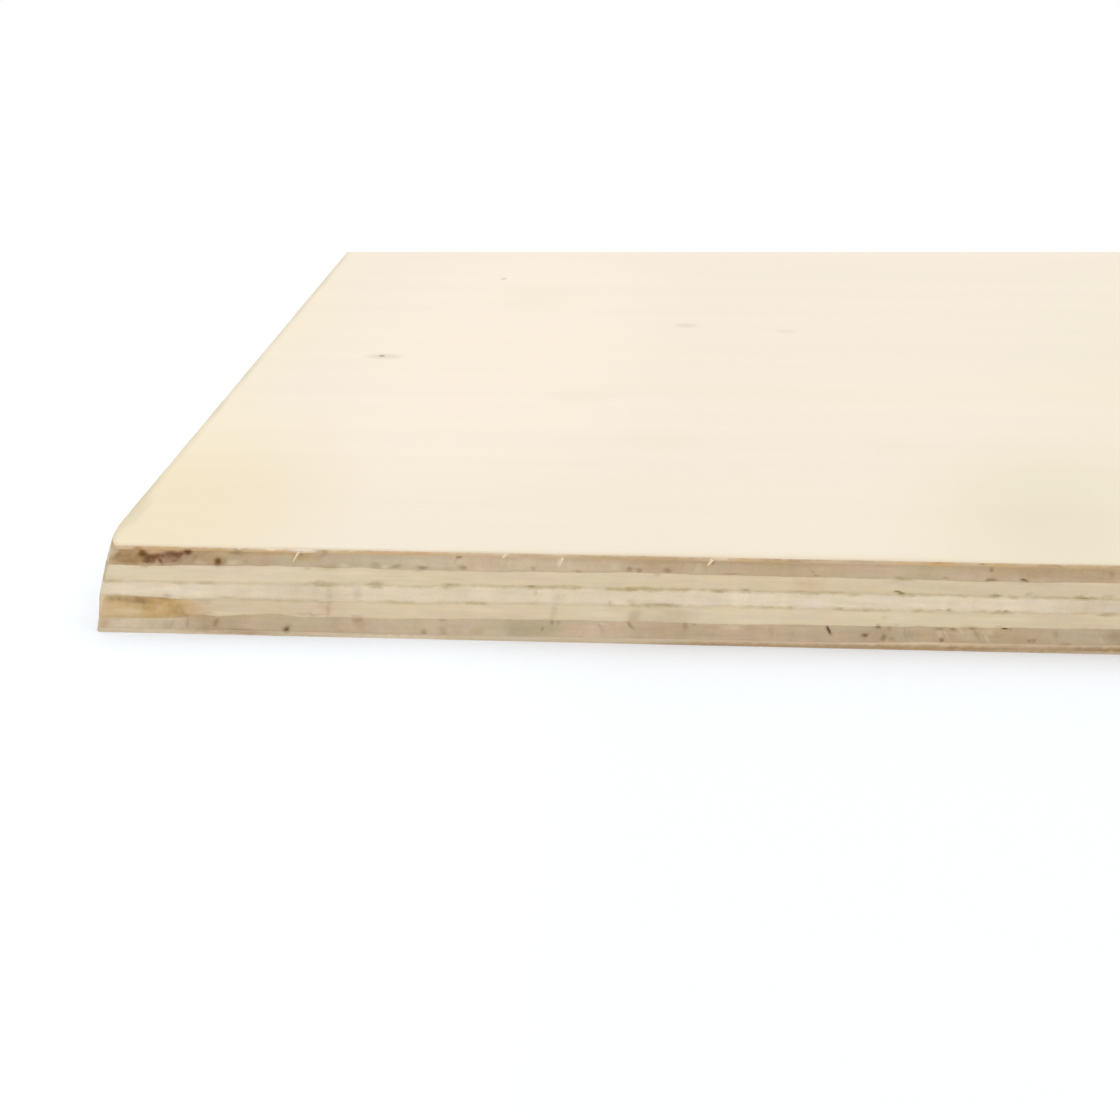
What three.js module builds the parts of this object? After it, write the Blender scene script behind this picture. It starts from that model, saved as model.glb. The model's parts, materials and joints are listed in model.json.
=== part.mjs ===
// A full sheet of 12 mm plywood, lying flat with its face up.
//
// Seven rotary-cut veneers are glued in one stack: thin veneers outside, thick
// ones inside. The whole stack is sawn to size in one go, so a single outline
// passes through every veneer. The glue lines slice it into the seven solids.
//
// Millimetres, +Z up. The origin is at the centre of the underside. X runs along
// the sheet, with the grain of the face, and Y runs across it.

import * as THREE from 'three';

// The sheet as it is sold.
const SHEET_LENGTH = 2440;
const SHEET_WIDTH = 1220;

// The veneers, from the face down to the back. The thicknesses add up to 12 mm.
const LAYUP = [
  { name: 'face_veneer', thickness: 0.5, color: '#f5e8d0', roughness: 0.55 },
  { name: 'upper_crossband', thickness: 1.875, color: '#bda27c', roughness: 0.85 },
  { name: 'upper_core_ply', thickness: 2.125, color: '#ddc9a4', roughness: 0.8 },
  { name: 'centre_ply', thickness: 2.25, color: '#dfcbad', roughness: 0.8 },
  { name: 'lower_core_ply', thickness: 2.25, color: '#ddc9a4', roughness: 0.8 },
  { name: 'lower_crossband', thickness: 2.375, color: '#b99d78', roughness: 0.85 },
  { name: 'back_veneer', thickness: 0.625, color: '#d3b994', roughness: 0.6 },
];
const SHEET_THICKNESS = LAYUP.reduce((total, veneer) => total + veneer.thickness, 0);

// The saw was tilted at the left end: the cut steps out by this much, face to back.
const END_CUT_LEAN = 1.3;

// A sawn corner is barely rounded. The front left one has been knocked: its round
// is a quarter ellipse, deepest at the face, which shrinks to the plain round over
// `height` below the face, fast at first and then slowly. Each round reaches
// `along` the length and `across` it.
const PLAIN_ROUND = { along: 0.6, across: 0.6 };
const KNOCKED_ROUND = { along: 2.2, across: 12, height: 7 };
const STEPS_PER_ROUND = 8;

// The knocked corner's round at height z.
function knockedRoundAt(z) {
  const share = Math.max(0, 1 - (SHEET_THICKNESS - z) / KNOCKED_ROUND.height) ** 2;
  return {
    along: THREE.MathUtils.lerp(PLAIN_ROUND.along, KNOCKED_ROUND.along, share),
    across: THREE.MathUtils.lerp(PLAIN_ROUND.across, KNOCKED_ROUND.across, share),
  };
}

// The sheet's outline at height z, counterclockwise from the front left corner.
function outlineAt(z) {
  const right = SHEET_LENGTH / 2;
  const left = -right + END_CUT_LEAN * z / SHEET_THICKNESS;
  const back = SHEET_WIDTH / 2;
  const front = -back;

  const outline = new THREE.Path();
  const addRound = (edgeX, edgeY, { along, across }, startAngle) => {
    const centreX = edgeX - Math.sign(edgeX) * along;
    const centreY = edgeY - Math.sign(edgeY) * across;
    outline.absellipse(centreX, centreY, along, across, startAngle, startAngle + Math.PI / 2);
  };
  addRound(left, front, knockedRoundAt(z), Math.PI);
  addRound(right, front, PLAIN_ROUND, Math.PI * 1.5);
  addRound(right, back, PLAIN_ROUND, 0);
  addRound(left, back, PLAIN_ROUND, Math.PI / 2);
  return outline.getPoints(STEPS_PER_ROUND / 2);
}

// The slice of the sawn stack between two glue lines, as one closed solid.
function veneerGeometry(bottom, top) {
  const lower = outlineAt(bottom);
  const upper = outlineAt(top);
  const count = lower.length;

  const positions = [
    ...lower.flatMap((point) => [point.x, point.y, bottom]),
    ...upper.flatMap((point) => [point.x, point.y, top]),
  ];
  const index = [];
  for (const [a, b, c] of THREE.ShapeUtils.triangulateShape(lower, [])) {
    index.push(a, c, b);
    index.push(a + count, b + count, c + count);
  }
  for (let i = 0; i < count; i++) {
    const next = (i + 1) % count;
    index.push(i, next, next + count);
    index.push(i, next + count, i + count);
  }

  const geometry = new THREE.BufferGeometry();
  geometry.setAttribute('position', new THREE.Float32BufferAttribute(positions, 3));
  geometry.setIndex(index);
  geometry.computeVertexNormals();
  return geometry;
}

function buildSheet() {
  const sheet = new THREE.Group();
  let top = SHEET_THICKNESS;
  for (const { name, thickness, color, roughness } of LAYUP) {
    const bottom = top - thickness;
    const material = new THREE.MeshStandardMaterial({ color, roughness, metalness: 0 });
    const veneer = new THREE.Mesh(veneerGeometry(bottom, top), material);
    veneer.name = name;
    sheet.add(veneer);
    top = bottom;
  }
  return sheet;
}

export default buildSheet();
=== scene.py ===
"""A sheet of 12 mm plywood lying on a white floor, dressed around its CAD solids.

Every veneer of the stack is remade as a mesh with a sawn edge, wavy glue lines
and a wood material of its own. The file is laid out as an add-on: the panel
lists one operator for each group of pieces and one for the stage.
"""

import json
import math

import bpy
import numpy as np
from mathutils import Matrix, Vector, noise
from mathutils.geometry import delaunay_2d_cdt

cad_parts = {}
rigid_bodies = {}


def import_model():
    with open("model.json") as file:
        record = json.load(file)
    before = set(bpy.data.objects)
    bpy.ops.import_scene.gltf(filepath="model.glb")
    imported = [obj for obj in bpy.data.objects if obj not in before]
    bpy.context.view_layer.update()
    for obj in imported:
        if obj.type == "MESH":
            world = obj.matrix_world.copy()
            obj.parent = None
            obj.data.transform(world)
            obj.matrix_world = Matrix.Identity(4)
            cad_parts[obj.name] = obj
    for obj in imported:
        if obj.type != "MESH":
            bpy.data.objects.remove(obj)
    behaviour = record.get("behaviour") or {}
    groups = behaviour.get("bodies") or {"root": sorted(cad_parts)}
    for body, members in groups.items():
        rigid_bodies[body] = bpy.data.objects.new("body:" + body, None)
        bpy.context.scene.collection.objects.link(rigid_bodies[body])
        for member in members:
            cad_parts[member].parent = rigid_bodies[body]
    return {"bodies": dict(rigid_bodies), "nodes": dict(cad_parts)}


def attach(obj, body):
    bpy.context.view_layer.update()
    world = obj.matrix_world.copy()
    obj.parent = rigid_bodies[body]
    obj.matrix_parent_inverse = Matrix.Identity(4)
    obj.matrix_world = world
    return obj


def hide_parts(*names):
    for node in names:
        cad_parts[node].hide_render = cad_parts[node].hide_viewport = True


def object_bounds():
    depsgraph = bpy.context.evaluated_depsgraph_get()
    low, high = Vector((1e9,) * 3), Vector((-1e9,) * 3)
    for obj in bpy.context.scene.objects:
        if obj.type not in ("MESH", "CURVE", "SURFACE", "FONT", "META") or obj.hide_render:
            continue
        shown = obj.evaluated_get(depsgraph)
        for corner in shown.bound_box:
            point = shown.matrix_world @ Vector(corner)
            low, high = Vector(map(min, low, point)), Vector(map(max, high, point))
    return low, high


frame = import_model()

bl_info = {
    "name": "Plywood Sheet",
    "version": (1, 0, 0),
    "blender": (4, 5, 0),
    "location": "3D View > Sidebar > Plywood",
    "description": "Dresses a sawn plywood sheet veneer by veneer and sets its stage",
    "category": "Object",
}

MM = 0.001
CAD_LOW, CAD_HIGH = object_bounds()
BODY = next(iter(frame["bodies"]))

# The veneers from the face down, each with the line of glue above it as its number.
VENEERS = (
    "face_veneer",
    "upper_crossband",
    "upper_core_ply",
    "centre_ply",
    "lower_core_ply",
    "lower_crossband",
    "back_veneer",
)
ALONG, ACROSS = (1.0, 0.0, 0.0), (0.0, 1.0, 0.0)

# How far in from the edge the glue lines' waves die out.
WAVE_REACH = 8 * MM


def linear(hex_colour):
    """A colour written as sRGB hex, as the linear red, green and blue that nodes take."""
    channels = [int(hex_colour[i : i + 2], 16) / 255 for i in (1, 3, 5)]
    return tuple(c / 12.92 if c <= 0.04045 else ((c + 0.055) / 1.055) ** 2.4 for c in channels)


def colour_setting(name, hex_colour, description):
    """A colour property whose default is written in hex."""
    return bpy.props.FloatVectorProperty(
        name=name, description=description, subtype="COLOR", min=0, max=1, default=linear(hex_colour)
    )


def length_setting(name, millimetres, description):
    """A length property whose default is written in millimetres."""
    return bpy.props.FloatProperty(
        name=name, description=description, unit="LENGTH", min=0, default=millimetres * MM
    )


def angle_setting(name, degrees, description):
    """An angle property whose default is written in degrees."""
    return bpy.props.FloatProperty(
        name=name, description=description, subtype="ANGLE", default=math.radians(degrees)
    )


def strength_setting(name, default, description):
    """A property for how strong something is, without a unit."""
    return bpy.props.FloatProperty(name=name, description=description, min=0, default=default)


# ---------------------------------------------------------------- settings


class SawnEdgeSettings(bpy.types.PropertyGroup):
    """How the saw and the press left the edges."""

    near_step: length_setting("Fine Step", 0.15, "Distance between edge points at the knocked corner")
    far_step: length_setting("Coarse Step", 4, "Distance between edge points far from that corner")
    near_reach: length_setting("Fine Reach", 150, "How far from the corner the fine step goes")
    far_reach: length_setting("Coarse Reach", 500, "How far from the corner the coarse step starts")
    line_wave: length_setting("Glue Line Wave", 0.15, "How far a glue line strays up or down")
    wave_length: length_setting("Wave Length", 14, "Length of the glue lines' waves")
    saw_depth: length_setting("Saw Depth", 0.12, "How uneven the saw left the edge")
    grain_depth: length_setting("Grain Depth", 0.07, "How deep the fibres and pores are torn")
    groove_depth: length_setting("Glue Groove", 0.04, "How deep the edge is worn at a glue line")
    void_depth: length_setting("Void Depth", 0.6, "Depth of the small voids in the edge")


class WoodSettings(bpy.types.PropertyGroup):
    """The colours of the wood, the glue and the marks on them."""

    face: colour_setting("Face", "#faedda", "Sanded face veneer")
    # The rosy, yellow and green face tints, and a faint stain, also paint the light and shade across the
    # face by the corner: paler at the back left, darker towards the front and the right.
    face_rosy: colour_setting("Rosy Face Tint", "#fff0dd", "Paler, pinker clouds and slivers")
    face_yellow: colour_setting("Yellow Face Tint", "#fbedcd", "Yellow bands on the face")
    face_green: colour_setting("Green Face Tint", "#f1e6ca", "Yellow-green clouds on the face")
    face_ring: colour_setting("Face Ring", "#f0dcb8", "Late wood of the growth rings on the face")
    face_streak: colour_setting("Face Streak", "#cfc39b", "Mineral streaks, and the worn arris")
    back: colour_setting("Back", "#dcc7a2", "Sanded back veneer")
    outer_edge: colour_setting("Face Veneer Edge", "#d6ba96", "Sawn edge of the face veneer")
    back_edge: colour_setting("Back Veneer Edge", "#d8c5a8", "Sawn edge of the back veneer")
    crossband: colour_setting("Crossband End Grain", "#cab496", "Crossband cut across its fibres")
    crossband_red: colour_setting("Crossband Red Tint", "#cfae8f", "Redder patches of crossband")
    crossband_grey: colour_setting("Crossband Grey Tint", "#c2b393", "Greyer patches of crossband")
    core: colour_setting("Core Long Grain", "#e6d4b4", "Core veneer cut along its fibres")
    core_red: colour_setting("Core Red Tint", "#e6cfb2", "Pinker patches of core")
    core_grey: colour_setting("Core Grey Tint", "#ded1b2", "Greyer patches of core")
    centre: colour_setting("Centre End Grain", "#ebdabf", "The paler, pinker veneer in the middle")
    glue: colour_setting("Glue", "#ab9657", "Olive glue in the inner lines")
    knot: colour_setting("Knot", "#733d19", "Red-brown heart of a knot")
    # Umber also darkens the foot of the back veneer: partly wood, partly painted shade by the floor.
    umber: colour_setting("Umber", "#6b4a1c", "Olive brown wood, as round a knot")
    bark: colour_setting("Mauve", "#9f7d64", "Mauve wood inside a knot")
    void: colour_setting("Void", "#574020", "Small gaps and cracks")
    spot: colour_setting("Spot", "#8c6d42", "Torn or bruised grain")
    stain: colour_setting("Stain", "#c9a362", "Golden brown stain")
    pale: colour_setting("Pale Wood", "#efe0c3", "Paler stretches and slivers of fresh wood")
    tan: colour_setting("Tan Wood", "#dfbf9b", "Clean tan strips, as at the top of the back veneer")
    # Brown also runs along the foot of the back veneer: partly browned wood, partly painted shade by the
    # floor.
    brown: colour_setting("Brown Wood", "#b29266", "Browned strips and patches of the edge")
    scorch: colour_setting("Scorch", "#d3a66a", "Golden wood, browned by the saw or beside the knot")
    fibre: colour_setting("Torn Fibre", "#f2dcba", "Splinters on the arris")


class StageSettings(bpy.types.PropertyGroup):
    """The camera, the floor and the light."""

    lens: bpy.props.FloatProperty(name="Lens", description="Focal length", unit="CAMERA", default=85)
    sensor: bpy.props.FloatProperty(name="Sensor", description="Sensor width", unit="CAMERA", default=36)
    pitch: angle_setting("Pitch", 16.73, "How far the camera looks down")
    yaw: angle_setting("Yaw", 4.04, "How far the camera turns left")
    stand: bpy.props.FloatVectorProperty(
        name="Stand",
        description="Where the camera stands, from the knocked corner",
        subtype="TRANSLATION",
        default=(84.75 * MM, -327.3 * MM, 109.9 * MM),
    )
    view_depth: length_setting("View Depth", 555.2, "Depth at which the camera's view ends")
    floor_size: length_setting("Floor Size", 30000, "Side of the square floor")
    floor: colour_setting("Floor", "#fafbfd", "White studio floor")
    glow: colour_setting("Glow", "#c4e1ff", "Colour of the floor's glow")
    sky: strength_setting("Sky", 0.85, "Strength of the even light")
    left_lift: strength_setting("Left Glow", 0.21, "Glow of the floor by the knocked corner")
    right_lift: strength_setting("Right Glow", 0.115, "Glow of the rest of the floor")
    key: strength_setting("Key", 0.4, "Strength of the lamp above")
    fill: strength_setting("Fill", 0.1, "Strength of the low lamp in front")


class PlywoodSettings(bpy.types.PropertyGroup):
    """Everything that the operators read."""

    edge: bpy.props.PointerProperty(type=SawnEdgeSettings)
    wood: bpy.props.PointerProperty(type=WoodSettings)
    stage: bpy.props.PointerProperty(type=StageSettings)


# ---------------------------------------------------------------- nodes


def add_node(tree, kind, inputs=(), output=None, **settings):
    """Adds a node and returns one of its outputs, the first unless `output` names another.

    `inputs` gives values or other nodes' outputs, as a list in the order of the
    node's live inputs or as a dictionary by their names.
    """
    node = tree.nodes.new(kind)
    for name, value in settings.items():
        setattr(node, name, value)
    live = [socket for socket in node.inputs if socket.enabled]
    named = {socket.name: socket for socket in reversed(live)}
    for key, value in inputs.items() if isinstance(inputs, dict) else enumerate(inputs):
        socket = live[key] if isinstance(key, int) else named[key]
        if isinstance(value, bpy.types.NodeSocket):
            tree.links.new(value, socket)
        elif socket.type == "RGBA":
            socket.default_value = (*value[:3], 1.0)
        else:
            socket.default_value = value
    outputs = [socket for socket in node.outputs if socket.enabled]
    return next((s for s in outputs if s.name == output), outputs[0] if outputs else None)


# ---------------------------------------------------------------- shape of the veneers

# Sides of the outline that lie this close to the front edge get the fine step. On the others a step is
# at least this many fine ones.
FRONT_BAND = 7 * MM
COARSER_STEP = 4

# Rows of points just inside the edge of a cap: how far in each lies, and how many of the edge's points
# it has one for. Inside them lies a grid with squares about this big.
CAP_ROWS = ((2 * MM, 4), (WAVE_REACH, 16))
CAP_GRID = 100 * MM


def cad_outline(node):
    """A CAD veneer's outline at its lower and upper face, counterclockwise from the knocked corner."""
    # Points that agree to a micron are one corner.
    corners = np.array([vertex.co[:] for vertex in frame["nodes"][node].data.vertices])
    corners = np.unique(np.round(corners, 6), axis=0)
    outlines = []
    for level in (corners[:, 2].min(), corners[:, 2].max()):
        ring = corners[np.isclose(corners[:, 2], level, atol=0.01 * MM)]
        outlines.append(ring[np.argsort(np.arctan2(ring[:, 1], ring[:, 0]))])
    return outlines


def edge_stations(edge):
    """Where the edge's points lie: which side of the outline each is on, and how far along that side."""
    ring = cad_outline(VENEERS[0])[1][:, :2]
    corner = np.array(CAD_LOW[:2])
    reaches, steps = (edge.near_reach, edge.far_reach), (edge.near_step, edge.far_step)
    sides, shares = [], []
    for side, (start, end) in enumerate(zip(ring, np.roll(ring, -1, axis=0))):
        length = np.linalg.norm(end - start)
        on_front = max(start[1], end[1]) < CAD_LOW.y + FRONT_BAND
        marks = [0.0]
        while marks[-1] < length:
            reach = np.linalg.norm(start + (end - start) * marks[-1] / length - corner)
            step = np.interp(reach, reaches, steps)
            marks.append(marks[-1] + (step if on_front else max(step, COARSER_STEP * edge.near_step)))
        shares.append(np.array(marks[:-1]) / marks[-1])
        sides.append(np.full(len(shares[-1]), side))
    return np.concatenate(sides), np.concatenate(shares)[:, None]


def edge_ring(outline, stations):
    """The outline's points at the stations."""
    sides, shares = stations
    return outline[sides] * (1 - shares) + np.roll(outline, -1, axis=0)[sides] * shares


def cap_layout(ring):
    """The points inside an outline, and the triangles that join them to it."""
    low, high = ring.min(axis=0), ring.max(axis=0)
    rows = [np.clip(ring[::every], low + inset, high - inset) for inset, every in CAP_ROWS]
    counts = np.round((high - low) / CAP_GRID).astype(int)
    spans = [np.linspace(a, b, n)[1:-1] for a, b, n in zip(low, high, counts)]
    grid = np.stack(np.meshgrid(*spans), axis=-1).reshape(-1, 2)
    inner = np.unique(np.round(np.vstack([*rows, grid]), 6), axis=0)
    points = [Vector(point) for point in np.vstack([ring, inner])]
    # Mode 1 keeps the triangles that lie inside the outline.
    _, _, faces, origins, _, _ = delaunay_2d_cdt(points, [], [range(len(ring))], 1, 1e-8)
    ids = np.array([origin[0] for origin in origins])
    return inner, ids[np.array(faces)]


def veneer_arrays(node, rows, stations, cap):
    """A straight-edged veneer: its points, its faces, which of those are sawn, and the points' data."""
    lower, upper = (edge_ring(outline, stations) for outline in cad_outline(node))
    inner, triangles = cap
    count = len(lower)

    share = np.repeat(np.linspace(0, 1, rows + 1), count)
    low_edge, high_edge = (np.tile(ring, (rows + 1, 1)) for ring in (lower, upper))
    edge = low_edge * (1 - share[:, None]) + high_edge * share[:, None]
    caps = [np.column_stack([inner, np.full(len(inner), ring[0, 2])]) for ring in (lower, upper)]
    points = np.vstack([edge, *caps])
    share = np.concatenate([share, np.zeros(len(inner)), np.ones(len(inner))])

    tangent = np.roll(upper, -1, axis=0) - np.roll(upper, 1, axis=0)
    outward = np.column_stack([tangent[:, 1], -tangent[:, 0], np.zeros(count)])
    outward /= np.linalg.norm(outward, axis=1)[:, None]
    low, high = upper[:, :2].min(axis=0), upper[:, :2].max(axis=0)
    from_edge = np.minimum(inner - low, high - inner).min(axis=1)
    cap_wave = np.clip(1 - from_edge / WAVE_REACH, 0, 1)

    here = np.arange(count)
    after = np.roll(here, -1)
    strip = np.column_stack([here, after, after + count, here + count])
    quads = [strip + row * count for row in range(rows)]
    raised = triangles + rows * count
    low_ids = np.where(triangles < count, triangles, raised)
    high_ids = np.where(triangles < count, raised, raised + len(inner))
    faces = np.vstack(quads).tolist() + low_ids[:, ::-1].tolist() + high_ids.tolist()
    sawn = np.arange(len(faces)) < rows * count

    thickness = upper[0, 2] - lower[0, 2]
    data = {
        "share": share,
        "from_line": np.minimum(share, 1 - share) * thickness / MM,
        "rim": np.concatenate([np.ones(len(edge)), np.zeros(2 * len(inner))]),
        "wave": np.concatenate([np.ones(len(edge)), cap_wave, cap_wave]),
        "outward": np.vstack([np.tile(outward, (rows + 1, 1)), np.zeros((2 * len(inner), 3))]),
    }
    return points, faces, sawn, data


# ---------------------------------------------------------------- marks on the front edge

# The front edge carries the listed marks this far along, in mm from the knocked corner, and the marks
# fade out over the last 15 mm. Beyond it, noise marks the edges.
MARKED_LENGTH = 165
MARKED_FADE = 15

# The glue lines' lifts reach this far in from the front edge, in mm, and fade out over the last 60 mm.
LIFT_REACH = 80
LIFT_FADE = 60

# How far each glue line lies above its place in the solids, as (along, lift) in mm from the knocked
# corner. The lines are numbered from the face down, and run level again past the last place.
LINE_LIFTS = {
    2: (
        (0, -0.3), (4, -0.32), (7, -0.42), (10, -0.38), (12.5, -0.26), (18, -0.18), (24, -0.05),
        (30, -0.2), (36, -0.04), (43, -0.24), (45, -0.26), (47.5, -0.14), (52, -0.3), (56, -0.13),
        (65, -0.05), (72, 0.03), (84, 0), (92, -0.06), (105, -0.1), (110, -0.18), (124, -0.18),
        (130, 0), (250, 0),
    ),
    3: (
        (0, -0.38), (30, -0.3), (37, -0.16), (44, -0.4), (47, 0.02), (58, -0.05), (63, 0.08),
        (70, -0.05), (85, 0.02), (98, 0.04), (104, -0.02), (119, -0.02), (250, 0),
    ),
    4: (
        (0, 0), (5, -0.08), (8, -0.2), (12, -0.48), (15, -0.36), (17.5, -0.14), (20, -0.22), (25, -0.2),
        (30, -0.28), (37, -0.14), (45, -0.1), (55, 0), (70, 0.06), (73, 0.14), (90, 0.16), (119, 0.2),
        (250, 0),
    ),
    5: (
        (0, -1), (11.3, -0.88), (12.3, -0.54), (14, -0.28), (14.8, -0.26), (16.3, -0.48), (18, -0.34),
        (22, -0.02), (23.4, 0.08), (25, 0), (27, -0.22), (28, -0.26), (32, -0.14), (40, -0.22),
        (48, -0.05), (56, 0.05), (70, 0.08), (78, 0.08), (81, -0.04), (85, 0), (90, 0.1), (95, 0.12),
        (100, 0.06), (103, 0.16), (104.5, 0.08), (110, 0.24), (114, 0.18), (119, 0.27), (130, 0.42),
        (250, 0),
    ),
    6: (
        (0, 0), (55, 0), (72, 0.15), (84, 0.2), (98, 0.2), (104, 0.3), (109, 0.52), (124, 0.52),
        (134, 0.62), (250, 0),
    ),
}

# How strongly glue shows all along these lines, and all along the others.
PLAIN_GLUE = {3: 0.18, 4: 0.12}
FAINT_GLUE = 0.04

# Where it shows more, as (start, end, strength), and the length over which that fades in and out, in mm
# from the knocked corner.
DASH_FADE = 1.2
GLUE_DASHES = {
    2: ((29.5, 32.5, 0.25), (46.5, 48.2, 0.3), (104.6, 107.6, 0.35)),
    3: (
        (1.2, 4.2, 0.38), (10.5, 12.6, 0.28), (13.6, 16.4, 0.4), (27.5, 29.2, 0.32), (29.2, 32.6, 0.62),
        (35.8, 38.4, 0.32), (41.8, 44.2, 0.28), (46.2, 48.6, 0.58), (49.6, 56, 0.3), (56, 62.8, 0.5),
        (62.6, 64.6, 0.58), (65.5, 67.4, 0.28), (67.4, 70, 0.6), (70, 72, 0.74), (72, 75.4, 0.6),
        (75.4, 78.7, 0.56), (79.5, 81, 0.38), (81, 83.4, 0.66), (84.6, 86.6, 0.46), (86.6, 88.6, 0.34),
        (90.6, 98.7, 0.42), (98.7, 101, 0.3), (103.4, 105, 0.3), (105, 107.6, 0.48),
        (107.6, 111.6, 0.34), (112.5, 114.5, 0.3), (116.5, 118.7, 0.56), (118.7, 120.8, 0.48),
        (122.2, 127.6, 0.42), (127.6, 130.7, 0.6), (130.7, 135, 0.32),
    ),
    4: (
        (11, 16.6, 0.2), (19.5, 25.4, 0.22), (25.4, 30.5, 0.3), (36.4, 38.5, 0.24), (38.5, 42.7, 0.38),
        (45.3, 48.9, 0.24), (48.9, 52.3, 0.48), (57.4, 59, 0.25), (67.4, 70.4, 0.25),
        (70.4, 72.5, 0.34), (72.5, 77.4, 0.48), (78, 85, 0.2), (85, 87.3, 0.36), (87.3, 89.6, 0.46),
        (89.6, 92.2, 0.36), (97.2, 98.6, 0.55), (98.6, 100.8, 0.3), (100.8, 102.5, 0.55),
        (102.5, 104.6, 0.36), (107.2, 108.9, 0.6), (108.9, 110.5, 0.34), (111.5, 112.5, 0.5),
        (114.5, 117.2, 0.32), (117.2, 120.5, 0.52), (120.5, 122.5, 0.25), (127.4, 130, 0.22),
        (131.4, 133.2, 0.42),
    ),
    5: ((0.5, 9, 0.3), (113.5, 116, 0.3)),
}

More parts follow.
